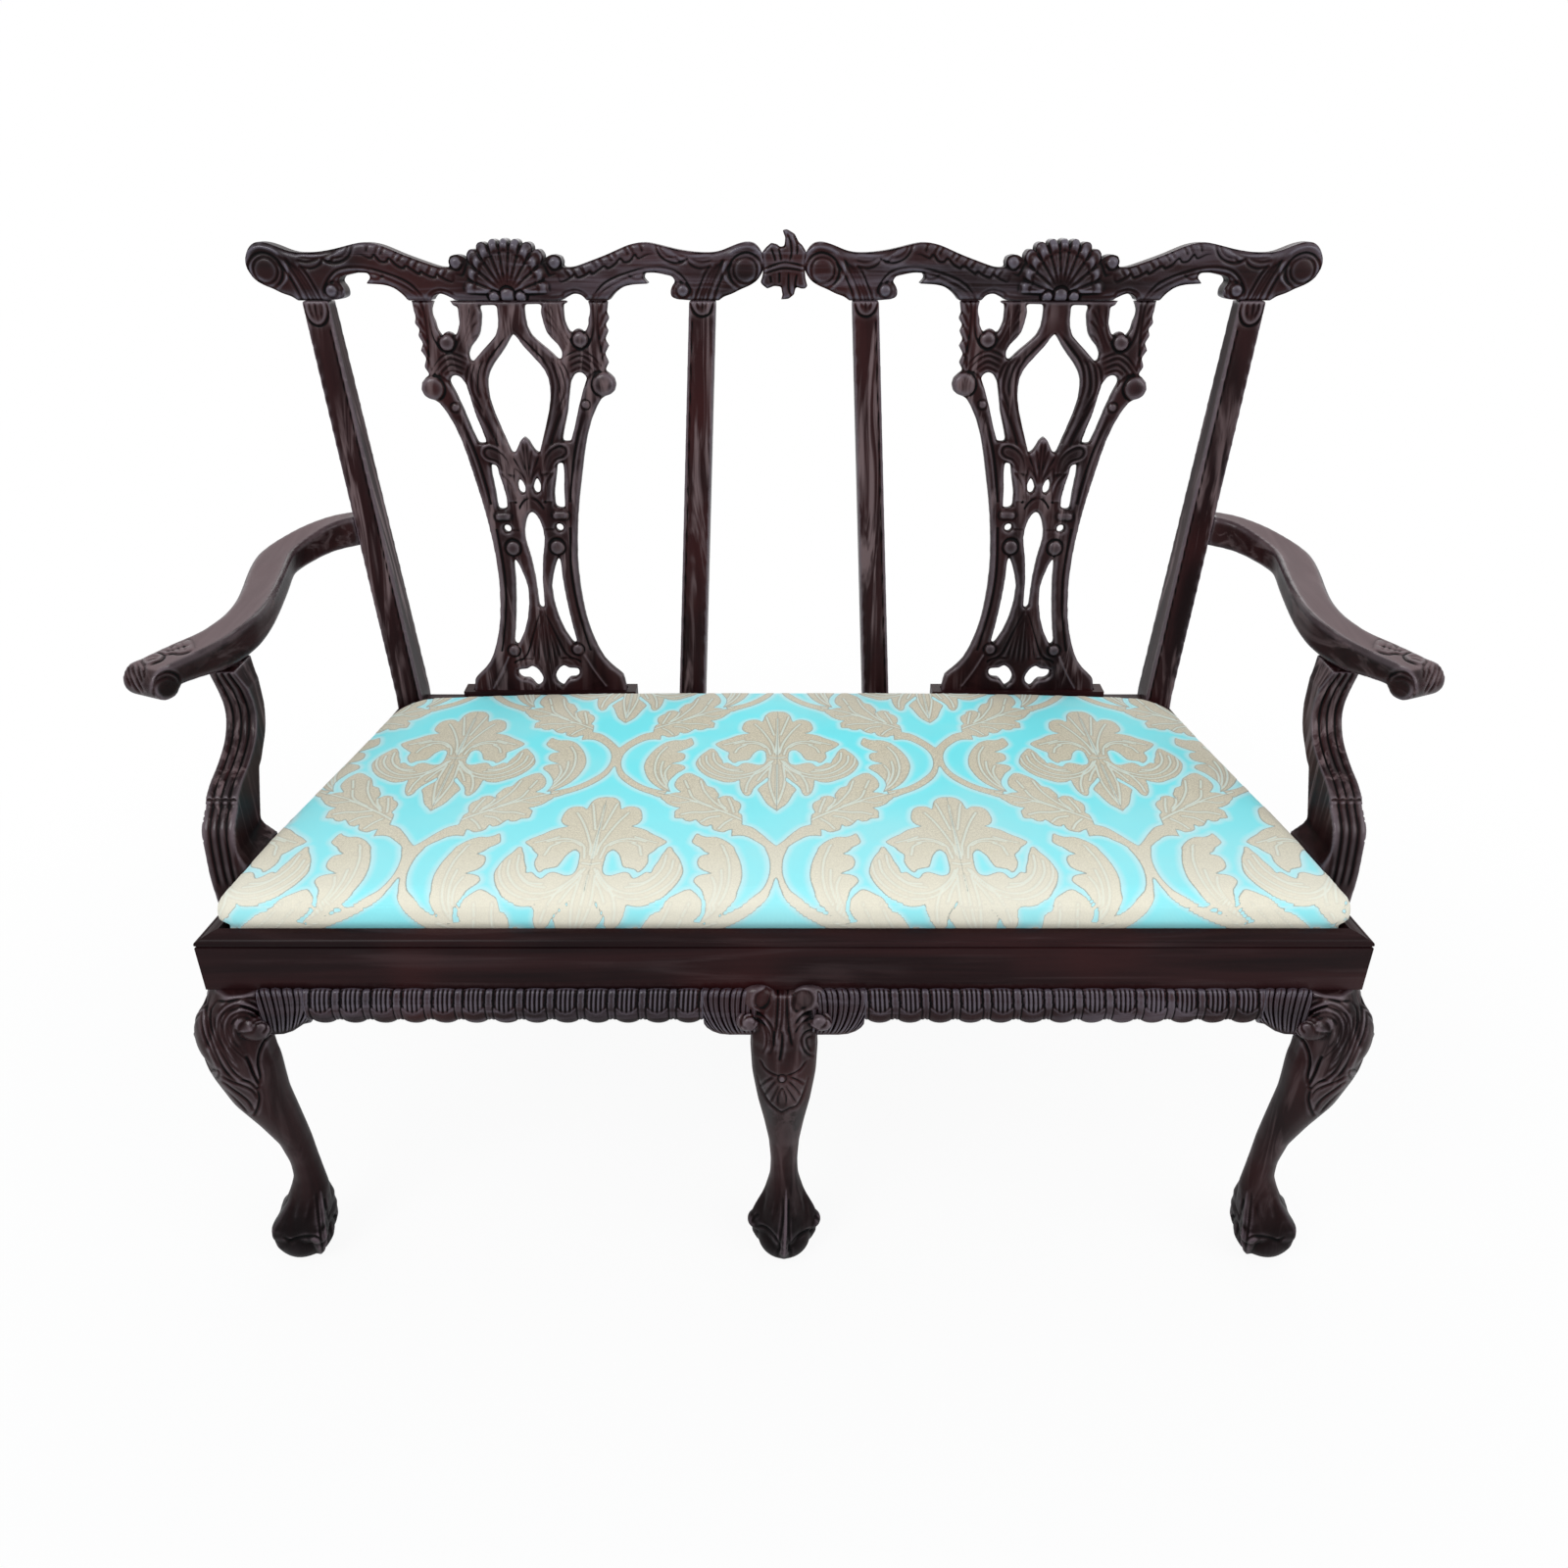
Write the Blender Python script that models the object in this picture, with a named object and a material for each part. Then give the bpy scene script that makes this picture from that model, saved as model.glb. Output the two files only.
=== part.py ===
# Double chair-back settee in the Chippendale manner, as a frame of separate joined pieces
# with a drop-in seat. Metres, +Z up, the front towards -Y, the floor at Z = 0.

from math import atan2, cos, pi, radians, sin, tan

import bmesh
import bpy
from mathutils import Matrix, Vector

# Fits
GAP = 0.0003                    # between glued or touching faces
SEAT_CLEARANCE = 0.0006         # round the drop-in seat
OVERRUN = 0.02                  # how far a cutter runs past a face

# Seat rails
RAIL_HALF_WIDTH = 0.576
SEAT_DEPTH = 0.5205             # fascia to the front faces of the back posts
RAIL_BOTTOM = 0.409
FASCIA_HEIGHT = 0.0507
MOULDING_HEIGHT = 0.0118
MOULDING_DEPTH = 0.0175
RAIL_THICKNESS = 0.032
LEDGE_DROP = 0.0185             # moulding top to the ledge that carries the seat
REAR_RAIL_THICKNESS = 0.032
BATTEN_DEPTH = 0.018
BATTEN_HEIGHT = 0.022
CROSS_RAIL_WIDTH = 0.038
CROSS_RAIL_HEIGHT = 0.034

# Chair-backs
BACK_AXIS = 0.3105              # middle of each chair-back at the seat
BACK_LEVEL = 0.481              # height where the leaning back starts
BACK_LEAN = radians(5.0)
BACK_SPLAY = radians(1.28)      # each chair-back tilts outwards a little
STILE_SPREAD_SEAT = 0.1882      # chair-back axis to a stile's middle, at the seat
STILE_SPREAD_TOP = 0.226
CREST_JOINT = 0.494             # up the slope, seat level to the crest's lower edge
STILE_WIDTH_SEAT = 0.034
STILE_WIDTH_TOP = 0.031
STILE_DEPTH_SEAT = 0.044
STILE_DEPTH_TOP = 0.028
CREST_THICKNESS = 0.026
CREST_PROUD = 0.0015            # crest face ahead of the stiles' faces
ORNAMENT_TONGUE = 0.036         # half length of its tongue into the two ears
INNER_EAR_SHARE = 0.93          # length of a crest's inner ear against its outer one
SPLAT_THICKNESS = 0.012
SPLAT_SETBACK = 0.005
TENON_THICKNESS = 0.010
TENON_LENGTH = 0.022
RAIL_TENON_HEIGHT = 0.021
SPLAT_TONGUE = 0.010
SHOE_HEIGHT = 0.0185
SHOE_DEPTH = 0.025
SHOE_OVERHANG = 0.012           # beyond the splat's foot on each side

# Legs
KNEE_HALF = 0.033
BALL_RADIUS = 0.030
BALL_FLAT = 0.0015              # depth of the flat under the ball
BALL_INSET = 0.0325             # fascia to the ball's middle
CORNER_BALL_INSET = 0.0200      # the same across the front corners
TALON_RADIUS = 0.0085
LEG_POST = 0.040                # square post behind the rails
LEG_HEAD_DROP = 0.040           # how far the square head runs below the rail
REAR_LEG_WIDTH = 0.036
REAR_LEG_DEPTH = 0.040
REAR_LEG_RAKE = 0.042
CENTRE_REAR_LEG_WIDTH = 0.034

# Carved apron
APRON_PROUD = 0.0125            # gadrooning and brackets ahead of the fascia
APRON_DEPTH = 0.030
GADROON_HEIGHT = 0.0335
GADROON_SCALLOP = 0.0045
GADROON_LOBES = 13
BRACKET_HEIGHT = 0.0485
CORNER_BRACKET_START = 0.0535   # front corner to the bracket
CORNER_BRACKET_LENGTH = 0.045
CENTRE_BRACKET_START = 0.0357
CENTRE_BRACKET_LENGTH = 0.0448

# Arms
ARM_TOP_FRONT = 0.691
ARM_TOP_BACK = 0.720
ARM_THICKNESS = 0.036
ARM_CHAMFER = 0.004
ARM_FLARE = 0.061               # front corner to the middle line of the arm's tip
ARM_TIP = 0.160                 # fascia to the arm's tip
ARM_SETBACK = 0.0395            # front of the back post to the middle of the arm's end
ARM_HALF_WIDTH = 0.0235
SCROLL_RADIUS = 0.0176
SUPPORT_WIDTH = 0.034
SUPPORT_RISE = 0.015            # its lower end above the side rail's lower edge
SUPPORT_FRONT = 0.113           # foremost point of the foot
SUPPORT_LENGTH = 0.150          # front to back, from the foot to the top
SUPPORT_INSET = 0.0055          # its inner face inside the front corner
SUPPORT_LAP_SHARE = 0.215       # of its height, flat against the side rail
SUPPORT_EASE_SHARE = 0.262      # where its own inner face starts
DOWEL_RADIUS = 0.005
DOWEL_LENGTH = 0.016

# Drop-in seat
BAR_WIDTH = 0.050
BAR_HEIGHT = 0.020
DUST_COVER_THICKNESS = 0.0012
COVER_THICKNESS = 0.0014
WEBBING_THICKNESS = 0.002
WEBBING_WIDTH = 0.050
WEBBING_ALONG = 4
WEBBING_ACROSS = 9
SEAT_CORNER_RADIUS = 0.016
SEAT_BACK_RADIUS = 0.034
SEAT_SIDE_FRONT = 0.027         # cover's side above the moulding, in front
SEAT_SIDE_BACK = 0.012
SEAT_CROWN = 0.054              # middle of the seat above the moulding
PAD_BULGE = 0.003

# Screws and corner blocks
SCREW_RADIUS = 0.0022
SCREW_HEAD_RADIUS = 0.0044
SCREW_HEAD_HEIGHT = 0.003
SCREW_LENGTH = 0.042
SCREW_SIDES = 8
BLOCK_LEG = 0.070
BLOCK_HEIGHT = 0.036

# Derived places
ARM_SPREAD = RAIL_HALF_WIDTH + ARM_FLARE
ARM_BACK_Y = SEAT_DEPTH + ARM_SETBACK
ARM_REACH = ARM_BACK_Y - ARM_TIP
SUPPORT_INNER_X = RAIL_HALF_WIDTH - SUPPORT_INSET
SUPPORT_FOOT = RAIL_BOTTOM + SUPPORT_RISE
FASCIA_TOP = RAIL_BOTTOM + FASCIA_HEIGHT
RAIL_TOP = FASCIA_TOP + MOULDING_HEIGHT
LEDGE = RAIL_TOP - LEDGE_DROP
POST_OUTER_X = BACK_AXIS + STILE_SPREAD_SEAT + STILE_WIDTH_SEAT / 2
POST_INNER_X = POST_OUTER_X - STILE_WIDTH_SEAT
SPLAT_FOOT = 0.55 * (BACK_LEVEL - RAIL_TOP)
TAPER = atan2(RAIL_HALF_WIDTH - POST_OUTER_X, SEAT_DEPTH)
REAR_FOOT_FRONT = SEAT_DEPTH + REAR_LEG_RAKE
LEG_TOP = RAIL_BOTTOM - GAP
POST_TOP = LEDGE - GAP

# Rail section: shares of the moulding's depth and height, from the fascia's top inwards
MOULDING_SHARES = [
    (0.00, 0.00), (0.09, 0.06), (0.09, 0.16), (0.01, 0.22), (0.00, 0.36), (0.03, 0.50),
    (0.14, 0.56), (0.20, 0.52), (0.26, 0.62), (0.42, 0.74), (0.66, 0.88), (0.92, 0.96), (1.00, 1.00)]

# Leg stations: share of the leg's height, then of the knee's half width for the half width,
# the middle's distance behind the fascia, and the same across a corner
LEG_SHARES = [
    (1.000, 0.92, 0.62, 1.00), (0.945, 1.00, 0.44, 0.74), (0.861, 1.05, 0.34, 0.28),
    (0.735, 1.00, 0.42, 0.38), (0.630, 0.84, 0.56, 0.50), (0.530, 0.65, 0.79, 0.76),
    (0.430, 0.49, 1.00, 0.99), (0.343, 0.43, 1.09, 1.09), (0.285, 0.46, 1.10, 1.11),
    (0.238, 0.58, 1.08, 1.03), (0.190, 0.72, 1.02, 0.86), (0.140, 0.80, 0.98, 0.70)]

# Talon stations: angle down from the ball's top as a share of a half turn, then shares of the
# talon's radius for its own radius and for its middle's height off the ball
TALON_SHARES = [
    (0.10, 1.10, -0.40), (0.20, 1.05, -0.25), (0.31, 1.10, -0.05), (0.41, 1.12, 0.08),
    (0.50, 0.88, 0.02), (0.61, 0.64, -0.05), (0.73, 0.40, 0.00)]

# Arm stations: share of the reach from the back post forwards, sideways place as a share of the
# tip's spread, half width share, rise of the top share, thickness share
ARM_SHARES = [
    (0.0150, 0.8890, 0.78, 0.90, 1.04), (0.0700, 0.9240, 0.80, 0.73, 0.96),
    (0.1650, 0.9530, 0.88, 0.50, 0.85), (0.2500, 0.9630, 0.91, 0.40, 0.79),
    (0.3500, 0.9520, 0.94, 0.31, 0.80), (0.4225, 0.9440, 0.91, 0.24, 0.83),
    (0.5375, 0.9300, 0.84, 0.19, 0.88), (0.6250, 0.9240, 0.83, 0.14, 0.93),
    (0.7000, 0.9250, 0.83, 0.10, 1.00), (0.7750, 0.9330, 0.84, 0.07, 1.00),
    (0.8300, 0.9440, 0.89, 0.03, 0.97), (0.9100, 0.9700, 1.00, 0.00, 0.76),
    (1.0000, 0.9950, 0.90, 0.00, 0.70)]

# The support reaches the underside of the arm, where the arm is lowest
SUPPORT_HEIGHT = min(ARM_TOP_FRONT + rise * (ARM_TOP_BACK - ARM_TOP_FRONT) - thick * ARM_THICKNESS
                     for _, _, _, rise, thick in ARM_SHARES) - SUPPORT_FOOT

# Support screws: shares of the support's length and of the fascia's height
SUPPORT_SCREW_SHARES = [(0.16, 0.45), (0.30, 0.75)]

# Arm support, side view: shares of its length and height, up the front and down the back
SUPPORT_FRONT_SHARES = [
    (0.02, 0.00), (0.00, 0.11), (0.00, 0.21), (0.027, 0.29), (0.067, 0.34), (0.147, 0.374),
    (0.200, 0.400), (0.205, 0.425), (0.247, 0.443), (0.340, 0.481), (0.460, 0.507),
    (0.587, 0.565), (0.693, 0.632), (0.780, 0.731), (0.797, 0.804), (0.733, 0.920), (0.680, 1.000)]
SUPPORT_BACK_SHARES = [
    (1.000, 1.000), (0.950, 0.915), (0.967, 0.808), (0.960, 0.733), (0.887, 0.593),
    (0.773, 0.496), (0.707, 0.447), (0.660, 0.438), (0.620, 0.387), (0.493, 0.266),
    (0.473, 0.161), (0.453, 0.06), (0.420, 0.00)]

# Knee bracket, front view: shares of its length and height, along the lower edge
BRACKET_SHARES = [(0.00, 0.98), (0.22, 1.00), (0.48, 0.95), (0.72, 0.84), (0.90, 0.70), (1.00, 0.62)]

# Back outlines: shares of the stiles' spread at the crest and of the height of the crest joint
SPLAT_EDGE_SHARES = [
    (0.451, 0.000), (0.451, 0.016), (0.442, 0.040), (0.434, 0.056), (0.407, 0.068), (0.372, 0.082),
    (0.336, 0.102), (0.310, 0.124), (0.288, 0.150), (0.265, 0.184), (0.248, 0.220),
    (0.237, 0.261), (0.230, 0.301), (0.228, 0.341), (0.230, 0.381), (0.239, 0.431),
    (0.252, 0.481), (0.270, 0.531), (0.292, 0.581), (0.319, 0.641), (0.341, 0.681),
    (0.372, 0.721), (0.407, 0.752), (0.434, 0.770), (0.456, 0.776), (0.487, 0.780),
    (0.509, 0.788), (0.520, 0.802), (0.513, 0.818), (0.487, 0.830), (0.465, 0.836),
    (0.489, 0.854), (0.471, 0.874), (0.496, 0.892), (0.478, 0.908), (0.500, 0.926),
    (0.485, 0.940), (0.509, 0.954), (0.498, 0.968), (0.504, 0.982), (0.509, 1.000)]
LOZENGE_SHARES = [
    (0.000, 0.926), (0.018, 0.916), (0.044, 0.898), (0.080, 0.878), (0.119, 0.858),
    (0.146, 0.840), (0.162, 0.822), (0.166, 0.802), (0.164, 0.778), (0.150, 0.747),
    (0.128, 0.715), (0.106, 0.685), (0.088, 0.661), (0.075, 0.643), (0.053, 0.649),
    (0.040, 0.659), (0.022, 0.675), (0.000, 0.684)]
UPPER_SLOT_SHARES = [
    (0.301, 0.828), (0.327, 0.834), (0.354, 0.830), (0.367, 0.820), (0.341, 0.792),
    (0.310, 0.752), (0.279, 0.705), (0.252, 0.671), (0.204, 0.671), (0.221, 0.701),
    (0.248, 0.741), (0.265, 0.782), (0.279, 0.812)]
NECK_SLOT_SHARES = [
    (0.071, 0.990), (0.164, 0.990), (0.155, 0.972), (0.164, 0.946), (0.177, 0.926),
    (0.199, 0.912), (0.230, 0.898), (0.248, 0.882), (0.243, 0.866), (0.226, 0.864),
    (0.204, 0.874), (0.168, 0.890), (0.128, 0.906), (0.093, 0.922), (0.075, 0.942),
    (0.071, 0.962)]
OVAL_SHARES = [
    (0.274, 0.990), (0.398, 0.990), (0.400, 0.962), (0.398, 0.942), (0.385, 0.930),
    (0.372, 0.922), (0.363, 0.930), (0.341, 0.934), (0.319, 0.930), (0.310, 0.922),
    (0.292, 0.930), (0.274, 0.952)]
SIDE_SLOT_SHARES = [
    (0.199, 0.621), (0.164, 0.615), (0.159, 0.597), (0.146, 0.571), (0.133, 0.541),
    (0.133, 0.511), (0.159, 0.506), (0.186, 0.507), (0.188, 0.531), (0.192, 0.561),
    (0.199, 0.591)]
TEARDROP_SHARES = [
    (0.049, 0.585), (0.031, 0.573), (0.020, 0.559), (0.027, 0.547), (0.044, 0.544),
    (0.060, 0.551), (0.064, 0.567)]
VASE_SHARES = [
    (0.000, 0.499), (0.022, 0.491), (0.040, 0.475), (0.053, 0.451), (0.055, 0.431),
    (0.049, 0.411), (0.035, 0.381), (0.027, 0.351), (0.020, 0.321), (0.018, 0.281),
    (0.015, 0.251), (0.000, 0.244)]
LOWER_SLOT_SHARES = [
    (0.128, 0.385), (0.133, 0.361), (0.135, 0.321), (0.142, 0.281), (0.155, 0.230),
    (0.168, 0.190), (0.181, 0.158), (0.177, 0.148), (0.159, 0.148), (0.146, 0.158),
    (0.115, 0.184), (0.088, 0.220), (0.071, 0.261), (0.066, 0.301), (0.080, 0.331),
    (0.102, 0.361)]
FOOT_HOLE_SHARES = [
    (0.044, 0.066), (0.066, 0.080), (0.093, 0.088), (0.119, 0.080), (0.159, 0.078),
    (0.181, 0.076), (0.177, 0.060), (0.155, 0.052), (0.119, 0.052), (0.097, 0.042),
    (0.075, 0.028), (0.044, 0.040), (0.035, 0.054)]
BUTTON_HOLE_SHARE = (0.146, 0.457, 0.023)
CREST_TOP_SHARES = [
    (0.000, 1.136), (0.066, 1.134), (0.124, 1.128), (0.168, 1.118), (0.195, 1.102),
    (0.208, 1.094), (0.230, 1.100), (0.257, 1.101), (0.283, 1.096), (0.292, 1.084),
    (0.283, 1.073), (0.319, 1.072), (0.354, 1.074), (0.442, 1.088), (0.531, 1.102),
    (0.619, 1.120), (0.677, 1.126), (0.730, 1.127), (0.796, 1.120), (0.885, 1.110),
    (0.973, 1.105), (1.062, 1.104), (1.115, 1.110), (1.173, 1.122), (1.239, 1.130),
    (1.283, 1.124), (1.314, 1.106), (1.330, 1.086), (1.323, 1.066), (1.292, 1.044),
    (1.243, 1.032), (1.199, 1.025), (1.155, 1.014), (1.115, 1.010), (1.088, 1.000)]
CREST_FOOT_SHARES = [
    (0.934, 1.000), (0.907, 1.002), (0.872, 1.002), (0.843, 1.008), (0.836, 1.018),
    (0.845, 1.032), (0.865, 1.042), (0.850, 1.053), (0.819, 1.056), (0.761, 1.062),
    (0.708, 1.060), (0.697, 1.050), (0.726, 1.037), (0.673, 1.036), (0.619, 1.034),
    (0.575, 1.026), (0.540, 1.013), (0.518, 1.000), (0.398, 1.000), (0.392, 1.008),
    (0.372, 1.014), (0.341, 1.016), (0.310, 1.010), (0.274, 1.000)]

EAR_TIP = max(range(len(CREST_TOP_SHARES)), key=lambda i: CREST_TOP_SHARES[i][0])

# Ornament between the two crests: shares of the stiles' spread and of the crest joint's height,
# read clockwise from the left ear's top
ORNAMENT_SHARES = [
    (-0.106, 1.104), (-0.086, 1.115), (-0.061, 1.125), (-0.034, 1.122), (-0.018, 1.116),
    (0.002, 1.118), (0.006, 1.136), (-0.007, 1.152), (0.014, 1.154), (0.051, 1.144),
    (0.071, 1.126), (0.087, 1.120), (0.106, 1.106), (0.103, 1.090), (0.099, 1.072),
    (0.103, 1.048), (0.113, 1.032), (0.101, 1.026), (0.082, 1.026), (0.057, 1.030),
    (0.048, 1.013), (0.023, 1.004), (-0.014, 1.002), (-0.007, 1.011), (-0.014, 1.030),
    (-0.046, 1.032), (-0.081, 1.026), (-0.103, 1.034), (-0.113, 1.040), (-0.103, 1.054),
    (-0.099, 1.072), (-0.103, 1.090)]

# Cover and pad rings: share of the way to the middle, share of the crown's height
CROWN_SHARES = [
    (0.012, 0.06), (0.045, 0.20), (0.10, 0.38), (0.19, 0.59), (0.32, 0.78), (0.52, 0.92), (0.76, 0.985)]

# Where a flat drawing's X, Y and thickness point: front view, view from the right, and rail sections
FACE_ON = Matrix.Rotation(radians(90), 4, 'X')
SIDE_ON = Matrix(((0, 0, 1, 0), (1, 0, 0, 0), (0, 1, 0, 0), (0, 0, 0, 1)))
INWARDS = Matrix(((-1, 0, 0, 0), (0, 0, 1, 0), (0, 1, 0, 0), (0, 0, 0, 1)))
BACK = (Matrix.Translation((BACK_AXIS, SEAT_DEPTH, BACK_LEVEL))
        @ Matrix.Rotation(-BACK_LEAN, 4, 'X') @ Matrix.Rotation(BACK_SPLAY, 4, 'Y'))
CREST = (Matrix.Translation(BACK @ Vector((0, 0, CREST_JOINT))) @ Matrix.Rotation(-BACK_LEAN, 4, 'X')
         @ Matrix.Translation((0, 0, -CREST_JOINT)))
CENTRE_BACK = Matrix.Translation((0, SEAT_DEPTH, BACK_LEVEL)) @ Matrix.Rotation(-BACK_LEAN, 4, 'X')


# Scene, materials and collections

for old in list(bpy.data.objects):
    bpy.data.objects.remove(old, do_unlink=True)

settee = bpy.data.collections.new("settee")
cutters = bpy.data.collections.new("settee_cutters")
bpy.context.scene.collection.children.link(settee)
bpy.context.scene.collection.children.link(cutters)


def new_empty(name, parent=None):
    empty = bpy.data.objects.new(name, None)
    empty.parent = parent
    settee.objects.link(empty)
    return empty


def new_material(name, colour, roughness, metallic=0.0):
    material = bpy.data.materials.new(name)
    material.use_nodes = True
    shader = material.node_tree.nodes["Principled BSDF"]
    shader.inputs["Base Color"].default_value = (*colour, 1.0)
    shader.inputs["Roughness"].default_value = roughness
    shader.inputs["Metallic"].default_value = metallic
    material.diffuse_color = (*colour, 1.0)
    return material


origin = new_empty("settee_origin")
seat_slide = new_empty("drop_in_seat", origin)

MAHOGANY = new_material("dark_mahogany", (0.035, 0.014, 0.011), 0.34)
BEECH = new_material("seat_frame_beech", (0.42, 0.27, 0.15), 0.6)
DAMASK = new_material("damask_cover", (0.38, 0.62, 0.62), 0.8)
FOAM = new_material("pad_foam", (0.75, 0.68, 0.45), 0.9)
JUTE = new_material("jute_webbing", (0.36, 0.26, 0.14), 0.95)
CAMBRIC = new_material("dust_cover_cambric", (0.02, 0.02, 0.022), 0.95)
STEEL = new_material("screw_steel", (0.45, 0.44, 0.42), 0.35, 1.0)


# Mesh helpers

def add_object(name, mesh, material, parent=origin):
    mesh.materials.clear()
    mesh.materials.append(material)
    piece = bpy.data.objects.new(name, mesh)
    piece.parent = parent
    settee.objects.link(piece)
    return piece


def mesh_from(name, work):
    bmesh.ops.recalc_face_normals(work, faces=work.faces)
    mesh = bpy.data.meshes.new(name)
    work.to_mesh(mesh)
    work.free()
    return mesh


def evaluated_mesh(piece):
    depsgraph = bpy.context.evaluated_depsgraph_get()
    return bpy.data.meshes.new_from_object(piece.evaluated_get(depsgraph))


def plate_mesh(name, loops, thickness, matrix):
    """A flat outline with its holes, extruded both ways from its own plane."""
    curve = bpy.data.curves.new(name, 'CURVE')
    curve.dimensions = '2D'
    curve.fill_mode = 'BOTH'
    curve.extrude = thickness / 2
    for loop in loops:
        spline = curve.splines.new('POLY')
        spline.points.add(len(loop) - 1)
        for point, (x, y) in zip(spline.points, loop):
            point.co = (x, y, 0, 1)
        spline.use_cyclic_u = True
    drawing = bpy.data.objects.new(name, curve)
    settee.objects.link(drawing)
    mesh = evaluated_mesh(drawing)
    bpy.data.objects.remove(drawing)
    work = bmesh.new()
    work.from_mesh(mesh)
    bpy.data.meshes.remove(mesh)
    bmesh.ops.remove_doubles(work, verts=work.verts, dist=GAP / 100)
    bmesh.ops.transform(work, matrix=matrix, verts=work.verts)
    return mesh_from(name, work)


def plate(name, loops, thickness, matrix, material=MAHOGANY, parent=origin):
    return add_object(name, plate_mesh(name, loops, thickness, matrix), material, parent)


def block(name, low, high, matrix=Matrix(), material=MAHOGANY, parent=origin):
    """A rectangular block between two corners."""
    work = bmesh.new()
    bmesh.ops.create_cube(work, size=1.0)
    low, high = Vector(low), Vector(high)
    place = Matrix.Translation((low + high) / 2) @ Matrix.Diagonal((*(high - low), 1))
    bmesh.ops.transform(work, matrix=matrix @ place, verts=work.verts)
    return add_object(name, mesh_from(name, work), material, parent)


def rod(name, radius, start, end, sides=12):
    """A round rod between two points."""
    start, end = Vector(start), Vector(end)
    work = bmesh.new()
    bmesh.ops.create_cone(work, cap_ends=True, segments=sides, radius1=radius, radius2=radius,
                          depth=(end - start).length)
    turn = (end - start).to_track_quat('Z', 'Y').to_matrix().to_4x4()
    bmesh.ops.transform(work, matrix=Matrix.Translation((start + end) / 2) @ turn, verts=work.verts)
    return add_object(name, mesh_from(name, work), MAHOGANY)


def loft(name, sections):
    """A capped skin over unlike sections that have the same number of points."""
    work = bmesh.new()
    rings = [[work.verts.new(point) for point in section] for section in sections]
    count = len(rings[0])
    for lower, upper in zip(rings, rings[1:]):
        for i in range(count):
            j = (i + 1) % count
            work.faces.new((lower[i], lower[j], upper[j], upper[i]))
    work.faces.new(rings[0])
    work.faces.new(rings[-1])
    return add_object(name, mesh_from(name, work), MAHOGANY)


def use_cutter(piece, tool, operation='DIFFERENCE'):
    """Cut a piece with a tool, or join the tool to it, and keep the tool as a guide."""
    if tool.name not in cutters.objects:
        cutters.objects.link(tool)
        settee.objects.unlink(tool)
    tool.hide_render = True
    tool.display_type = 'WIRE'
    modifier = piece.modifiers.new(tool.name, 'BOOLEAN')
    modifier.operation = operation
    modifier.solver = 'EXACT'
    modifier.object = tool
    return piece


def join(piece, tool):
    return use_cutter(piece, tool, 'UNION')


def trim(piece, point, normal):
    """Cut away what lies past a plane and close the cut."""
    work = bmesh.new()
    work.from_mesh(piece.data)
    everything = work.verts[:] + work.edges[:] + work.faces[:]
    bmesh.ops.bisect_plane(work, geom=everything, plane_co=point, plane_no=normal,
                           clear_outer=True, dist=GAP / 100)
    rim = [edge for edge in work.edges if edge.is_boundary]
    bmesh.ops.holes_fill(work, edges=rim)
    bmesh.ops.recalc_face_normals(work, faces=work.faces)
    work.to_mesh(piece.data)
    work.free()
    return piece


def mirror_copy(piece, name):
    """The left-hand twin of a finished right-hand piece."""
    work = bmesh.new()
    mesh = evaluated_mesh(piece)
    work.from_mesh(mesh)
    bpy.data.meshes.remove(mesh)
    bmesh.ops.transform(work, matrix=Matrix.Diagonal((-1, 1, 1, 1)), verts=work.verts)
    bmesh.ops.reverse_faces(work, faces=work.faces)
    mesh = bpy.data.meshes.new(name)
    work.to_mesh(mesh)
    work.free()
    return add_object(name, mesh, piece.data.materials[0], piece.parent)


def smooth(piece, angle=radians(40)):
    piece.data.shade_smooth()
    piece.data.set_sharp_from_angle(angle=angle)
    return piece


def back_points(shares, mirrored=False):
    """Shares of a chair-back's outline as points, up the slope from the seat."""
    side = -1 if mirrored else 1
    return [(side * s * STILE_SPREAD_TOP, v * CREST_JOINT) for s, v in shares]


def both_halves(shares):
    """A closed loop from a right-hand half whose ends lie on the middle line."""
    right = back_points(shares)
    left = [(-x, y) for x, y in reversed(right) if x > 0]
    return right + left


# Seat rails

def rail_section():
    """Fascia, moulding, rebate and back of a rail: distance in from the face, and height."""
    moulding = [(d * MOULDING_DEPTH, FASCIA_TOP + h * MOULDING_HEIGHT) for d, h in MOULDING_SHARES]
    return [(0, RAIL_BOTTOM), *moulding, (MOULDING_DEPTH, LEDGE), (RAIL_THICKNESS, LEDGE),
            (RAIL_THICKNESS, RAIL_BOTTOM)]


CORNER = Vector((RAIL_HALF_WIDTH, 0, 0))
ALONG_SIDE = Vector((-sin(TAPER), cos(TAPER), 0))
OUT_OF_SIDE = Vector((cos(TAPER), sin(TAPER), 0))
MITRE = (ALONG_SIDE - Vector((-1, 0, 0))).normalized()
SIDE_LENGTH = SEAT_DEPTH / cos(TAPER)


def side_frame(along=0):
    """X out of the side rail, Y back along it, Z up, from the front corner."""
    frame = Matrix((OUT_OF_SIDE, ALONG_SIDE, Vector((0, 0, 1)))).transposed().to_4x4()
    return Matrix.Translation(CORNER + along * ALONG_SIDE) @ frame


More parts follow.
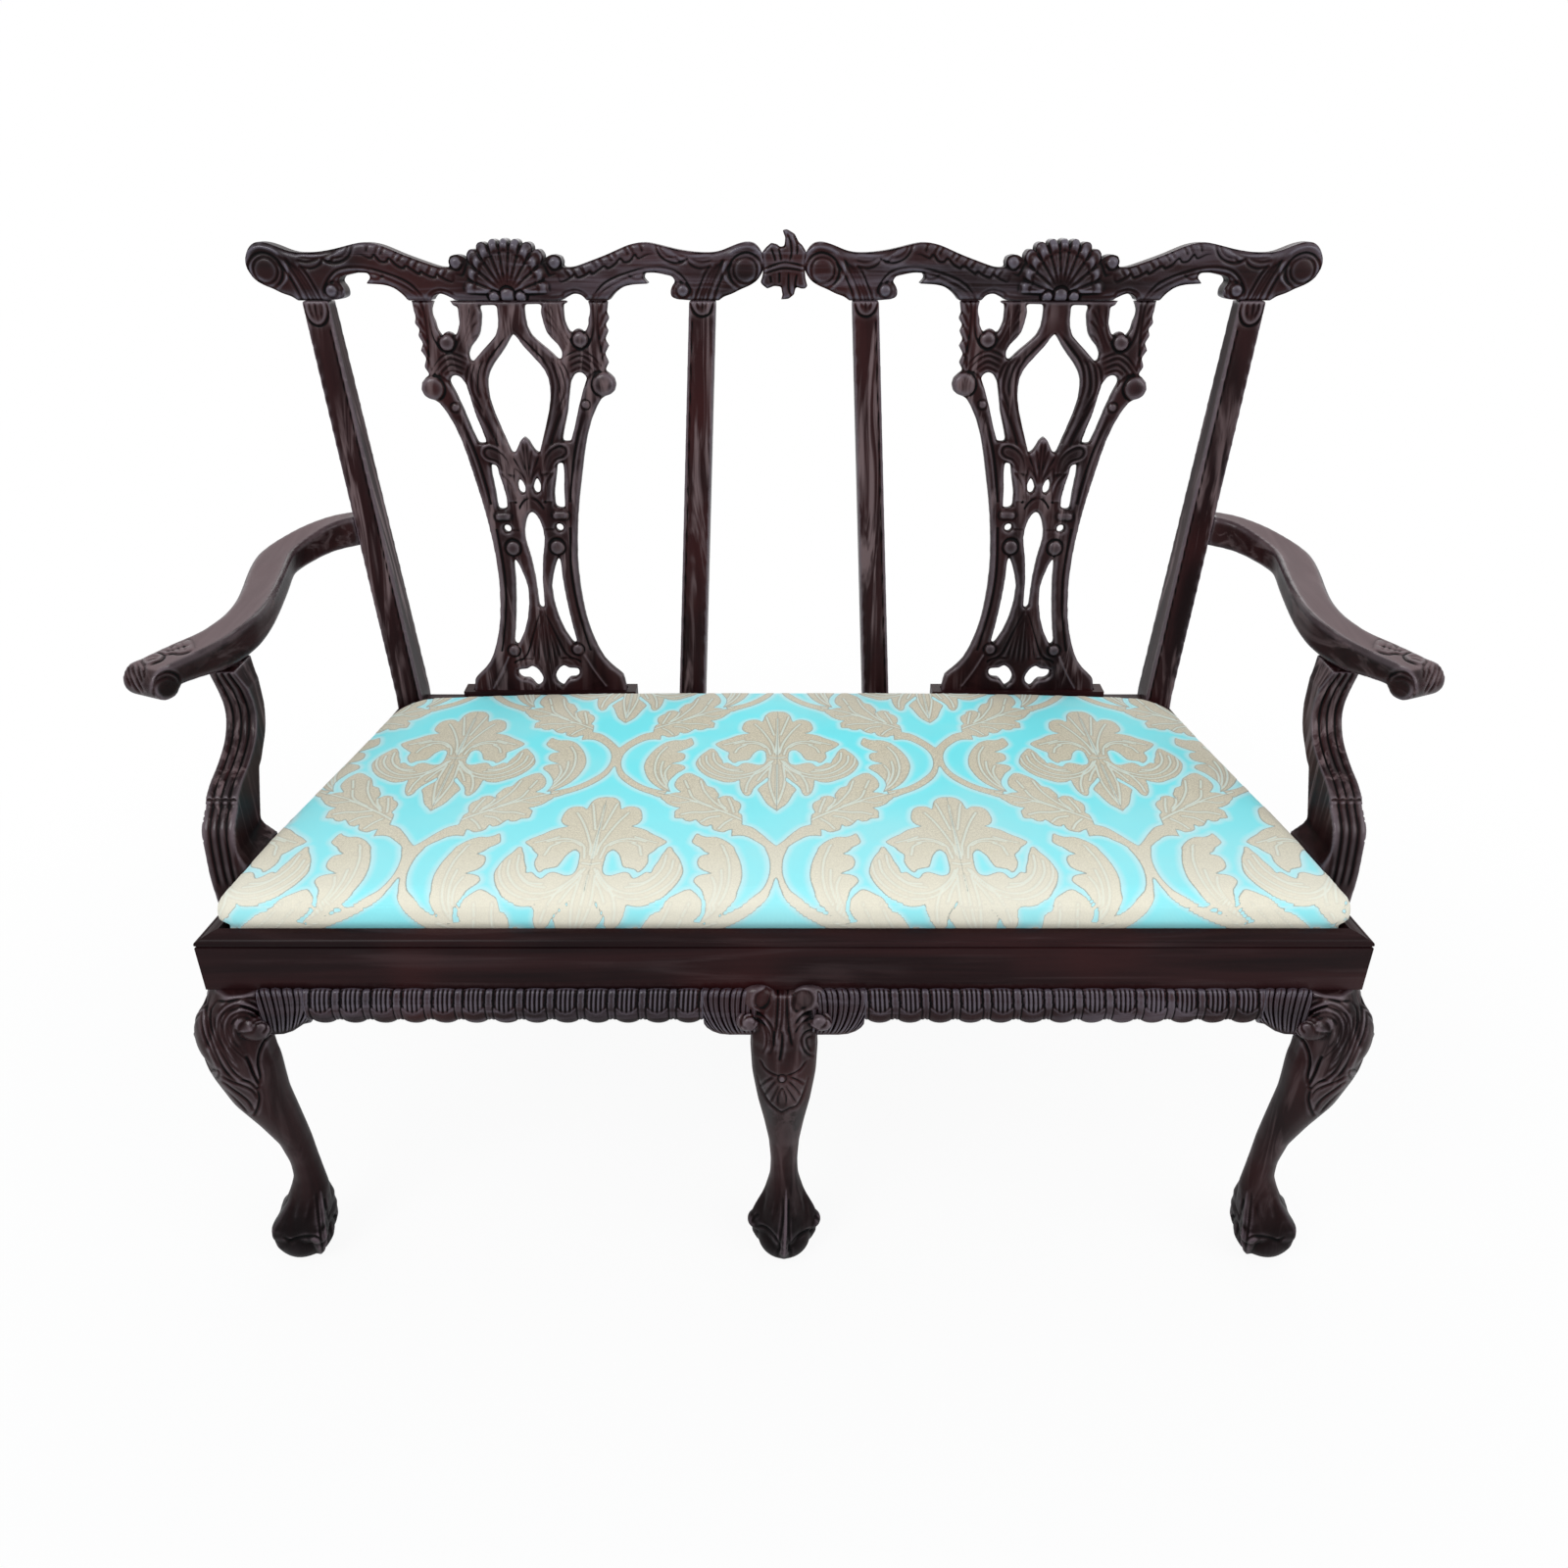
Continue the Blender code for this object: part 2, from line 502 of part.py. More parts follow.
def make_rails():
    front = plate("front_rail", [rail_section()], 2 * RAIL_HALF_WIDTH + OVERRUN, SIDE_ON)
    trim(front, CORNER - MITRE * GAP / 2, MITRE)
    left_mitre = Vector((-MITRE.x, MITRE.y, 0))
    trim(front, Vector((-CORNER.x, 0, 0)) - left_mitre * GAP / 2, left_mitre)

    length = SIDE_LENGTH + OVERRUN
    side = plate("right_side_rail", [rail_section()], length, side_frame(SIDE_LENGTH / 2) @ INWARDS)
    trim(side, CORNER + MITRE * GAP / 2, -MITRE)
    trim(side, Vector((0, SEAT_DEPTH - GAP, 0)), Vector((0, 1, 0)))
    return front, side


SIDE_TENON_LOW = (-RAIL_THICKNESS * 0.70, SIDE_LENGTH - OVERRUN, RAIL_BOTTOM + GAP * 10)
SIDE_TENON_HIGH = (-RAIL_THICKNESS * 0.70 + TENON_THICKNESS, SIDE_LENGTH + TENON_LENGTH,
                   RAIL_BOTTOM + GAP * 10 + RAIL_TENON_HEIGHT)
REAR_TENON_Y = SEAT_DEPTH + REAR_RAIL_THICKNESS / 2


def grown(low, high, by):
    return [a - by for a in low], [b + by for b in high]


def make_side_tenon(side_rail, post):
    low, high = SIDE_TENON_LOW, SIDE_TENON_HIGH
    join(side_rail, block("side_rail_tenon", low, high, side_frame()))
    use_cutter(post, block("side_rail_mortise", *grown(low, high, GAP), side_frame()))


def make_rear_rail(post):
    rail = block("rear_rail", (-POST_INNER_X + GAP, SEAT_DEPTH, RAIL_BOTTOM),
                 (POST_INNER_X - GAP, SEAT_DEPTH + REAR_RAIL_THICKNESS, RAIL_TOP))
    for side, name in ((1, "right"), (-1, "left")):
        inner = POST_INNER_X - OVERRUN
        outer = POST_INNER_X + TENON_LENGTH
        low = (min(side * inner, side * outer), REAR_TENON_Y - TENON_THICKNESS / 2,
               RAIL_TOP - RAIL_TENON_HEIGHT - GAP * 10)
        high = (max(side * inner, side * outer), REAR_TENON_Y + TENON_THICKNESS / 2,
                RAIL_TOP - GAP * 10)
        join(rail, block(f"{name}_rear_rail_tenon", low, high))
        if side > 0:
            use_cutter(post, block("rear_rail_mortise", *grown(low, high, GAP)))
    return rail


def make_batten():
    reach = POST_INNER_X - RAIL_THICKNESS
    return block("rear_seat_batten", (-reach, SEAT_DEPTH - GAP - BATTEN_DEPTH, LEDGE - BATTEN_HEIGHT),
                 (reach, SEAT_DEPTH - GAP, LEDGE))


def make_cross_rail():
    """The middle bearer, from the centre leg's post to the rear rail, notched under the batten."""
    front = RAIL_THICKNESS + GAP + LEG_POST + GAP
    back = SEAT_DEPTH - GAP
    notch = back - BATTEN_DEPTH - GAP
    low, lip, top = LEDGE - CROSS_RAIL_HEIGHT, LEDGE - BATTEN_HEIGHT - GAP, LEDGE - GAP
    outline = [(front, low), (back, low), (back, lip), (notch, lip), (notch, top), (front, top)]
    return plate("seat_cross_rail", [outline], CROSS_RAIL_WIDTH, SIDE_ON)


# Chair-backs

def level_at(s, v):
    """Height up the slope at a place across the chair-back that is level with v on its axis."""
    return v + s * tan(BACK_SPLAY)


def stile_section(v, spread, width, depth):
    """Four corners of a stile, level across; depth runs back from the front face."""
    corners = [(spread + side * width / 2, back * depth) for side, back in ((-1, 0), (1, 0), (1, 1), (-1, 1))]
    return [BACK @ Vector((s, n, level_at(s, v))) for s, n in corners]


def level_section(x, y, z, width, depth):
    return [Vector((x + side * width / 2, y + back * depth, z))
            for side, back in ((-1, 0), (1, 0), (1, 1), (-1, 1))]


def stile_tenon(side, spread):
    """The stile's tenon into the crest, in the chair-back's own frame."""
    half = STILE_WIDTH_TOP / 4
    middle = STILE_DEPTH_TOP / 2
    joint = level_at(side * spread, CREST_JOINT)
    low = (side * spread - half, middle - TENON_THICKNESS / 2, joint - OVERRUN)
    high = (side * spread + half, middle + TENON_THICKNESS / 2, joint + TENON_LENGTH)
    return low, high


def make_outer_post():
    seat_x = BACK_AXIS + STILE_SPREAD_SEAT
    sections = [
        level_section(seat_x, REAR_FOOT_FRONT, 0, REAR_LEG_WIDTH, REAR_LEG_DEPTH),
        level_section(seat_x, SEAT_DEPTH, RAIL_BOTTOM, STILE_WIDTH_SEAT, STILE_DEPTH_SEAT),
        stile_section(0, STILE_SPREAD_SEAT, STILE_WIDTH_SEAT, STILE_DEPTH_SEAT),
        stile_section(CREST_JOINT - GAP, STILE_SPREAD_TOP, STILE_WIDTH_TOP, STILE_DEPTH_TOP)]
    post = loft("right_back_post", sections)
    join(post, block("outer_stile_tenon", *stile_tenon(1, STILE_SPREAD_TOP), BACK))
    return post


def make_inner_stile(rear_rail):
    """The stile beside the middle, with a tenon down into the rear rail."""
    foot = level_section(BACK_AXIS - STILE_SPREAD_SEAT, SEAT_DEPTH, RAIL_TOP + GAP,
                         STILE_WIDTH_SEAT, STILE_DEPTH_SEAT)
    sections = [foot, stile_section(0, -STILE_SPREAD_SEAT, STILE_WIDTH_SEAT, STILE_DEPTH_SEAT),
                stile_section(CREST_JOINT - GAP, -STILE_SPREAD_TOP, STILE_WIDTH_TOP, STILE_DEPTH_TOP)]
    stile = loft("right_inner_stile", sections)
    join(stile, block("inner_stile_tenon", *stile_tenon(-1, STILE_SPREAD_TOP), BACK))
    half = STILE_WIDTH_SEAT / 3
    for side, name in ((1, "right"), (-1, "left")):
        middle = side * (BACK_AXIS - STILE_SPREAD_SEAT)
        low = (middle - half, REAR_TENON_Y - TENON_THICKNESS / 2, RAIL_TOP - TENON_LENGTH)
        high = (middle + half, REAR_TENON_Y + TENON_THICKNESS / 2, RAIL_TOP + TENON_THICKNESS)
        if side > 0:
            join(stile, block("stile_foot_tenon", low, high))
        use_cutter(rear_rail, block(f"{name}_stile_mortise", *grown(low, high, GAP)))
    return stile


def make_splat():
    edge = back_points(SPLAT_EDGE_SHARES)[:-1]
    half = [(edge[0][0], -SPLAT_FOOT), *edge]
    top = SPLAT_EDGE_SHARES[-1][0] * STILE_SPREAD_TOP
    level_top = [(s, level_at(s, CREST_JOINT - GAP)) for s in (top, -top)]
    outline = half + level_top + [(-x, y) for x, y in reversed(half)]
    loops = [outline, both_halves(LOZENGE_SHARES), both_halves(VASE_SHARES)]
    for shares in (UPPER_SLOT_SHARES, NECK_SLOT_SHARES, OVAL_SHARES, SIDE_SLOT_SHARES,
                   TEARDROP_SHARES, LOWER_SLOT_SHARES, FOOT_HOLE_SHARES):
        loops += [back_points(shares), back_points(shares, mirrored=True)]
    s, v, radius = BUTTON_HOLE_SHARE
    for side in (1, -1):
        loops.append([((side * s + radius * cos(2 * pi * i / 8)) * STILE_SPREAD_TOP,
                       v * CREST_JOINT + radius * STILE_SPREAD_TOP * sin(2 * pi * i / 8))
                      for i in range(8)])
    middle = Matrix.Translation((0, SPLAT_SETBACK + SPLAT_THICKNESS / 2, 0))
    splat = plate("right_splat", loops, SPLAT_THICKNESS, BACK @ middle @ FACE_ON)
    low, high = splat_tongue()
    join(splat, block("splat_tongue", low, high, CREST))
    return splat


def splat_tongue():
    half = NECK_SLOT_SHARES[1][0] * STILE_SPREAD_TOP
    middle = SPLAT_SETBACK + SPLAT_THICKNESS / 2
    low = (-half, middle - TENON_THICKNESS / 4, CREST_JOINT * (1 + NECK_SLOT_SHARES[0][1]) / 2)
    high = (half, middle + TENON_THICKNESS / 4, CREST_JOINT + SPLAT_TONGUE)
    return low, high


def make_shoe():
    """The block on the rear rail that holds a splat's foot."""
    half = SPLAT_EDGE_SHARES[0][0] * STILE_SPREAD_TOP
    low = (BACK_AXIS - half - SHOE_OVERHANG, SEAT_DEPTH, RAIL_TOP + GAP)
    high = (BACK_AXIS + half + SHOE_OVERHANG, SEAT_DEPTH + SHOE_DEPTH, RAIL_TOP + GAP + SHOE_HEIGHT)
    shoe = block("right_splat_shoe", low, high)
    slot_low = (-half, SPLAT_SETBACK, -SPLAT_FOOT)
    slot_high = (half, SPLAT_SETBACK + SPLAT_THICKNESS, SHOE_HEIGHT * 2)
    use_cutter(shoe, block("splat_slot", *grown(slot_low, slot_high, GAP), BACK))
    return shoe


def inner_ear(s):
    """The crest's inner ear is a little shorter than its outer one."""
    return min(s, STILE_SPREAD_TOP) + max(s - STILE_SPREAD_TOP, 0) * INNER_EAR_SHARE


def make_crest():
    top = back_points(CREST_TOP_SHARES)
    foot = back_points(CREST_FOOT_SHARES)
    right = top + foot
    outline = right + [(-inner_ear(x), y) for x, y in reversed(right) if x > 0]
    middle = Matrix.Translation((0, CREST_THICKNESS / 2 - CREST_PROUD, 0))
    crest = plate("right_crest_rail", [outline], CREST_THICKNESS, CREST @ middle @ FACE_ON)
    for side, name in ((1, "outer"), (-1, "inner")):
        low, high = stile_tenon(side, STILE_SPREAD_TOP)
        use_cutter(crest, block(f"{name}_stile_socket", *grown(low, high, GAP), BACK))
    low, high = splat_tongue()
    use_cutter(crest, block("splat_groove", *grown(low, high, GAP), CREST))
    return crest


def make_ornament(crest):
    """The leaf between the two crests, with a tongue let into both ears."""
    depth = CREST_THICKNESS * 0.8
    outline = [(s * STILE_SPREAD_TOP, v * CREST_JOINT) for s, v in ORNAMENT_SHARES]
    middle = Matrix.Translation((0, depth / 2 - CREST_PROUD, 0))
    ornament = plate("centre_crest_ornament", [outline], depth, CENTRE_BACK @ middle @ FACE_ON)
    level = CREST_TOP_SHARES[EAR_TIP][1] * CREST_JOINT
    back = middle.translation.y + TENON_THICKNESS / 2
    low = (-ORNAMENT_TONGUE, back - TENON_THICKNESS, level - TENON_THICKNESS / 2)
    high = (ORNAMENT_TONGUE, back, level + TENON_THICKNESS / 2)
    join(ornament, block("ornament_tongue", low, high, CENTRE_BACK))
    use_cutter(crest, block("ornament_mortise", *grown(low, high, GAP), CENTRE_BACK))


# Legs

def rounded_square(x, y, z, half, turn, points=12):
    """A level section between a circle and a square, turned about its middle."""
    corners = []
    for i in range(points):
        angle = 2 * pi * i / points
        reach = half / (abs(cos(angle)) ** 3 + abs(sin(angle)) ** 3) ** (1 / 3)
        corners.append(Vector((x + reach * cos(angle + turn), y + reach * sin(angle + turn), z)))
    return corners


def make_cabriole_leg(name, x_of, ball_x, turn):
    """Knee, ankle, claws and ball; x_of gives the middle's sideways place from a corner share."""
    sections = []
    for height, half, inset, corner_inset in reversed(LEG_SHARES):
        place = (x_of(corner_inset * KNEE_HALF), inset * KNEE_HALF, height * LEG_TOP)
        sections.append(rounded_square(*place, half * KNEE_HALF, turn))
    leg = loft(name, sections)
    ball_middle = Vector((ball_x, BALL_INSET, BALL_RADIUS - BALL_FLAT))
    work = bmesh.new()
    bmesh.ops.create_uvsphere(work, u_segments=16, v_segments=10, radius=BALL_RADIUS)
    bmesh.ops.transform(work, matrix=Matrix.Translation(ball_middle), verts=work.verts)
    join(leg, add_object(f"{name}_ball", mesh_from("ball", work), MAHOGANY))
    for i in range(4):
        angle = turn + pi / 2 * i
        outward = Vector((cos(angle), sin(angle), 0))
        across = Vector((-sin(angle), cos(angle), 0))
        rings = []
        for down, radius, lift in TALON_SHARES:
            tilt = down * pi
            radial = outward * sin(tilt) + Vector((0, 0, 1)) * cos(tilt)
            middle = ball_middle + radial * (BALL_RADIUS + lift * TALON_RADIUS)
            size = radius * TALON_RADIUS
            rings.append([middle + size * (across * cos(a) + radial * sin(a))
                          for a in (2 * pi * (k + 0.5) / 8 for k in range(8))])
        join(leg, loft(f"{name}_talon_{i + 1}", rings))
    floor_low = Vector((ball_x - 4 * BALL_RADIUS, -4 * BALL_RADIUS, -BALL_RADIUS))
    floor_high = Vector((ball_x + 4 * BALL_RADIUS, 8 * BALL_RADIUS, 0))
    use_cutter(leg, block(f"{name}_floor", floor_low, floor_high))
    return leg


def make_corner_leg():
    leg = make_cabriole_leg("right_front_leg", lambda inset: RAIL_HALF_WIDTH - inset,
                            RAIL_HALF_WIDTH - CORNER_BALL_INSET, -pi / 4)
    back = RAIL_THICKNESS + GAP + LEG_POST
    outer = RAIL_HALF_WIDTH - back * tan(TAPER) - (RAIL_THICKNESS + GAP) / cos(TAPER)
    head_low = (RAIL_HALF_WIDTH - CORNER_BRACKET_START + GAP, GAP, LEG_TOP - LEG_HEAD_DROP)
    head_high = (RAIL_HALF_WIDTH - back * tan(TAPER) - GAP, back - LEG_POST / 8, LEG_TOP - GAP)
    join(leg, block("corner_leg_head", head_low, head_high))
    flat_low = (RAIL_HALF_WIDTH - CORNER_BRACKET_START - LEG_POST, -LEG_POST, LEG_TOP - BRACKET_HEIGHT - GAP)
    flat_high = (RAIL_HALF_WIDTH - CORNER_BRACKET_START + GAP, RAIL_THICKNESS, LEG_TOP + OVERRUN)
    use_cutter(leg, block("corner_leg_flat", flat_low, flat_high))
    post_low = (outer - LEG_POST, RAIL_THICKNESS + GAP, LEG_TOP - 0.9 * LEG_HEAD_DROP)
    join(leg, block("corner_leg_post", post_low, (outer, back, POST_TOP)))
    return leg, outer - LEG_POST, back


def make_centre_leg():
    leg = make_cabriole_leg("front_centre_leg", lambda inset: 0, 0, -pi / 2)
    half = LEG_POST / 2
    low = (-half, RAIL_THICKNESS + GAP, LEG_TOP - LEG_HEAD_DROP)
    join(leg, block("centre_leg_post", low, (half, RAIL_THICKNESS + GAP + LEG_POST, POST_TOP)))
    return leg


def make_rear_centre_leg(rear_rail):
    half = TENON_THICKNESS
    sections = [
        level_section(0, REAR_FOOT_FRONT, 0, CENTRE_REAR_LEG_WIDTH, REAR_LEG_DEPTH),
        level_section(0, SEAT_DEPTH, LEG_TOP, CENTRE_REAR_LEG_WIDTH, REAR_RAIL_THICKNESS)]
    leg = loft("rear_centre_leg", sections)
    low = (-half, REAR_TENON_Y - TENON_THICKNESS / 2, LEG_TOP - TENON_THICKNESS)
    high = (half, REAR_TENON_Y + TENON_THICKNESS / 2, RAIL_BOTTOM + TENON_LENGTH)
    join(leg, block("rear_leg_tenon", low, high))
    use_cutter(rear_rail, block("rear_leg_mortise", *grown(low, high, GAP)))
    return leg


# Carved apron

def bracket_outline(length):
    lower = [(x * length, -h * BRACKET_HEIGHT) for x, h in BRACKET_SHARES]
    return [(0, 0), *lower, (length, 0)]


def make_brackets():
    """Knee brackets under the front and side rails, beside the legs."""
    depth_middle = APRON_DEPTH / 2 - APRON_PROUD
    place = Matrix.Translation((RAIL_HALF_WIDTH - CORNER_BRACKET_START, depth_middle, LEG_TOP))
    pieces = [plate("right_front_knee_bracket", [bracket_outline(CORNER_BRACKET_LENGTH)],
                    APRON_DEPTH, place @ INWARDS)]
    back = RAIL_THICKNESS + GAP + LEG_POST + GAP
    along = back / cos(TAPER) + OVERRUN / 4
    side_place = side_frame(along) @ Matrix.Translation((-depth_middle, 0, LEG_TOP))
    pieces.append(plate("right_side_knee_bracket", [bracket_outline(CORNER_BRACKET_LENGTH)],
                        APRON_DEPTH, side_place @ SIDE_ON))
    place = Matrix.Translation((CENTRE_BRACKET_START, depth_middle, LEG_TOP))
    pieces.append(plate("centre_right_knee_bracket", [bracket_outline(CENTRE_BRACKET_LENGTH)],
                        APRON_DEPTH, place @ FACE_ON))
    return pieces


def make_gadroon():
    """The scalloped moulding under the front rail, between two brackets."""
    start = CENTRE_BRACKET_START + CENTRE_BRACKET_LENGTH + GAP
    end = RAIL_HALF_WIDTH - CORNER_BRACKET_START - CORNER_BRACKET_LENGTH - GAP
    pitch = (end - start) / GADROON_LOBES
    steps = 5
    lower = []
    for lobe in range(GADROON_LOBES):
        for step in range(steps):
            share = step / steps
            drop = GADROON_HEIGHT - GADROON_SCALLOP + GADROON_SCALLOP * sin(pi * share) ** 0.7
            lower.append((start + (lobe + share) * pitch, -drop))
    lower.append((end, GADROON_SCALLOP - GADROON_HEIGHT))
    place = Matrix.Translation((0, APRON_DEPTH / 2 - APRON_PROUD, LEG_TOP))
    return plate("right_gadroon_moulding", [[(start, 0), *lower, (end, 0)]], APRON_DEPTH, place @ FACE_ON)


# Arms

def arm_stations():
    """Middle line, half width, top and thickness, from the back post to the tip."""
    for forward, sideways, half, rise, thick in ARM_SHARES:
        middle = Vector((sideways * ARM_SPREAD, ARM_BACK_Y - forward * ARM_REACH, 0))
        top = ARM_TOP_FRONT + rise * (ARM_TOP_BACK - ARM_TOP_FRONT)
        yield middle, half * ARM_HALF_WIDTH, top, thick * ARM_THICKNESS


def arm_section(middle, across, half, top, thickness):
    bottom = top - thickness
    chamfer = ARM_CHAMFER
    shape = [(half, top - chamfer), (half - chamfer, top), (chamfer - half, top), (-half, top - chamfer),
             (-half, bottom + chamfer), (chamfer - half, bottom), (half - chamfer, bottom),
             (half, bottom + chamfer)]
    return [Vector((*(middle + across * w).xy, z)) for w, z in shape]


def on_stile_side(point):
    """The point moved sideways onto the plane of the outer stile's side, less the gap."""
    low = BACK @ Vector((STILE_SPREAD_SEAT + STILE_WIDTH_SEAT / 2, 0, 0))
    high = BACK @ Vector((STILE_SPREAD_TOP + STILE_WIDTH_TOP / 2, 0, CREST_JOINT))
    depth = BACK.to_3x3() @ Vector((0, 1, 0))
    normal = depth.cross(high - low).normalized()
    return Vector((low.x - (normal.y * (point.y - low.y) + normal.z * (point.z - low.z)) / normal.x + GAP,
                   point.y, point.z))


def make_arm():
    stations = list(arm_stations())
    sections = []
    for i, (middle, half, top, thickness) in enumerate(stations):
        ahead = stations[min(i + 1, len(stations) - 1)][0]
        behind = stations[max(i - 1, 0)][0]
        if i == 0:
            behind = Vector((POST_OUTER_X, ARM_BACK_Y, 0))
        line = (ahead - behind).normalized()
        across = Vector((-line.y, line.x, 0))
        sections.append(arm_section(middle, across, half, top, thickness))
    end_half = STILE_DEPTH_SEAT * 0.36
    end = arm_section(Vector((POST_OUTER_X, ARM_BACK_Y, 0)), Vector((0, 1, 0)), end_half,
                      ARM_TOP_BACK, ARM_THICKNESS * ARM_SHARES[0][4])
    sections.insert(0, [on_stile_side(point) for point in end])
    arm = loft("right_arm", sections)
    tip, half, top, _ = stations[-1]
    line = (tip - stations[-2][0]).normalized()
    across = Vector((-line.y, line.x, 0))
    middle = tip + Vector((0, 0, top - SCROLL_RADIUS))
    join(arm, rod("arm_scroll", SCROLL_RADIUS, middle - across * half, middle + across * half, sides=16))
    return arm


def make_arm_support(arm):
    outline = [(SUPPORT_FRONT + t * SUPPORT_LENGTH, SUPPORT_FOOT + h * SUPPORT_HEIGHT - h * GAP)
               for t, h in SUPPORT_FRONT_SHARES + SUPPORT_BACK_SHARES]
    mesh = plate_mesh("right_arm_support", [outline], SUPPORT_WIDTH, SIDE_ON)
    lap, ease = (SUPPORT_FOOT + share * SUPPORT_HEIGHT for share in (SUPPORT_LAP_SHARE, SUPPORT_EASE_SHARE))
    work = bmesh.new()
    work.from_mesh(mesh)
    for level in (lap, ease):
        bmesh.ops.bisect_plane(work, geom=work.verts[:] + work.edges[:] + work.faces[:],
                               plane_co=(0, 0, level), plane_no=(0, 0, 1), dist=GAP / 100)
    for vertex in work.verts:
        on_rail = RAIL_HALF_WIDTH - vertex.co.y * tan(TAPER) + GAP / cos(TAPER)
        lift = min(max((vertex.co.z - lap) / (ease - lap), 0), 1)
        inner = on_rail + (SUPPORT_INNER_X - on_rail) * lift
        vertex.co.x = inner if vertex.co.x < 0 else SUPPORT_INNER_X + SUPPORT_WIDTH
    work.to_mesh(mesh)
    work.free()
    support = add_object("right_arm_support", mesh, MAHOGANY)
    t = (SUPPORT_FRONT_SHARES[-1][0] + SUPPORT_BACK_SHARES[0][0]) / 2
    top = SUPPORT_FOOT + SUPPORT_HEIGHT
    middle = Vector((SUPPORT_INNER_X + SUPPORT_WIDTH / 2, SUPPORT_FRONT + t * SUPPORT_LENGTH, top))
    rise = Vector((0, 0, DOWEL_LENGTH))
    join(support, rod("support_dowel", DOWEL_RADIUS, middle - rise, middle + rise))
    use_cutter(arm, rod("support_dowel_hole", DOWEL_RADIUS + GAP, middle - rise,
                        middle + rise + Vector((0, 0, GAP))))
    return support


# Drop-in seat

def arc(centre, radius, start, steps=4):
    return [Vector((centre[0] + radius * cos(start + pi / 2 * k / steps),
                    centre[1] + radius * sin(start + pi / 2 * k / steps))) for k in range(steps + 1)]


def seat_half(y, inset):
    """Half width of the seat between the side rails at a distance back."""
    return RAIL_HALF_WIDTH - (MOULDING_DEPTH + inset) / cos(TAPER) - y * tan(TAPER)


def seat_ends(inset):
    return MOULDING_DEPTH + inset, SEAT_DEPTH - inset


def right_corners(inset):
    """The rounded front and back corners on the right, front to back."""
    front, back = seat_ends(inset)
    arcs = []
    for y, radius, start in ((front + SEAT_CORNER_RADIUS, SEAT_CORNER_RADIUS, -pi / 2),
                             (back - SEAT_BACK_RADIUS, SEAT_BACK_RADIUS, 0)):
        arcs.append(arc((seat_half(y, inset) - radius / cos(TAPER), y), radius, start))
    return arcs


def seat_outline(inset, sides=(4, 10)):
    """The seat's edge in plan as one loop of points, a stated distance inside the rebate."""
    front_right, back_right = right_corners(inset)
    back_left = [Vector((-p.x, p.y)) for p in reversed(back_right)]
    front_left = [Vector((-p.x, p.y)) for p in reversed(front_right)]
    corners = [front_right, back_right, back_left, front_left]
    loop = []
    for i, corner in enumerate(corners):
        loop += corner
        goal = corners[(i + 1) % 4][0]
        between = sides[i % 2]
        loop += [corner[-1].lerp(goal, (k + 1) / (between + 1)) for k in range(between)]
    return loop


def cushion_height(y, share, drop):
    """Height of the cushion's skin: share 0 at its edge, 1 in the middle, less a drop inwards."""
    back_share = y / SEAT_DEPTH
    edge = SEAT_SIDE_FRONT + (SEAT_SIDE_BACK - SEAT_SIDE_FRONT) * back_share
    return RAIL_TOP + edge + (SEAT_CROWN - edge) * share - drop


def crowned(work, loop, low, drop, bulge=0):
    """Side and crown of a cushion as rings up to a closing middle point."""
    middle = Vector((0, (MOULDING_DEPTH + SEAT_DEPTH) / 2))
    rings = [[(*point, low) for point in loop]]
    swell = [point.lerp(middle, -bulge / SEAT_DEPTH) for point in loop]
    rings.append([(*point, (low + cushion_height(point.y, 0, drop)) / 2) for point in swell])
    for share, height in [(0, 0), *CROWN_SHARES]:
        ring = [point.lerp(middle, share) for point in loop]
        rings.append([(*point, cushion_height(point.y, height, drop)) for point in ring])
    made = [[work.verts.new(point) for point in ring] for ring in rings]
    count = len(loop)
    for lower, upper in zip(made, made[1:]):
        for i in range(count):
            j = (i + 1) % count
            work.faces.new((lower[i], lower[j], upper[j], upper[i]))
    top = work.verts.new((*middle, cushion_height(middle.y, 1, drop)))
    for i in range(count):
        work.faces.new((made[-1][i], made[-1][(i + 1) % count], top))
    return made[0]


BAR_BOTTOM = LEDGE + GAP + DUST_COVER_THICKNESS + GAP
BAR_TOP = BAR_BOTTOM + BAR_HEIGHT
BAR_INSET = SEAT_CLEARANCE + PAD_BULGE + COVER_THICKNESS + GAP
PAD_BOTTOM = BAR_TOP + GAP + WEBBING_THICKNESS + GAP


def make_cover():
    work = bmesh.new()
    low = LEDGE + GAP
    outer_inset = SEAT_CLEARANCE + PAD_BULGE
    outer = crowned(work, seat_outline(outer_inset), low, 0, PAD_BULGE)
    inner = crowned(work, seat_outline(outer_inset + COVER_THICKNESS), low, COVER_THICKNESS, PAD_BULGE)
    count = len(outer)
    for i in range(count):
        j = (i + 1) % count
        work.faces.new((outer[i], outer[j], inner[j], inner[i]))
    return smooth(add_object("seat_cover", mesh_from("seat_cover", work), DAMASK, seat_slide))


def make_pad():
    work = bmesh.new()
    base = crowned(work, seat_outline(BAR_INSET), PAD_BOTTOM, COVER_THICKNESS + GAP)
    work.faces.new(base)
    return smooth(add_object("seat_pad", mesh_from("seat_pad", work), FOAM, seat_slide))


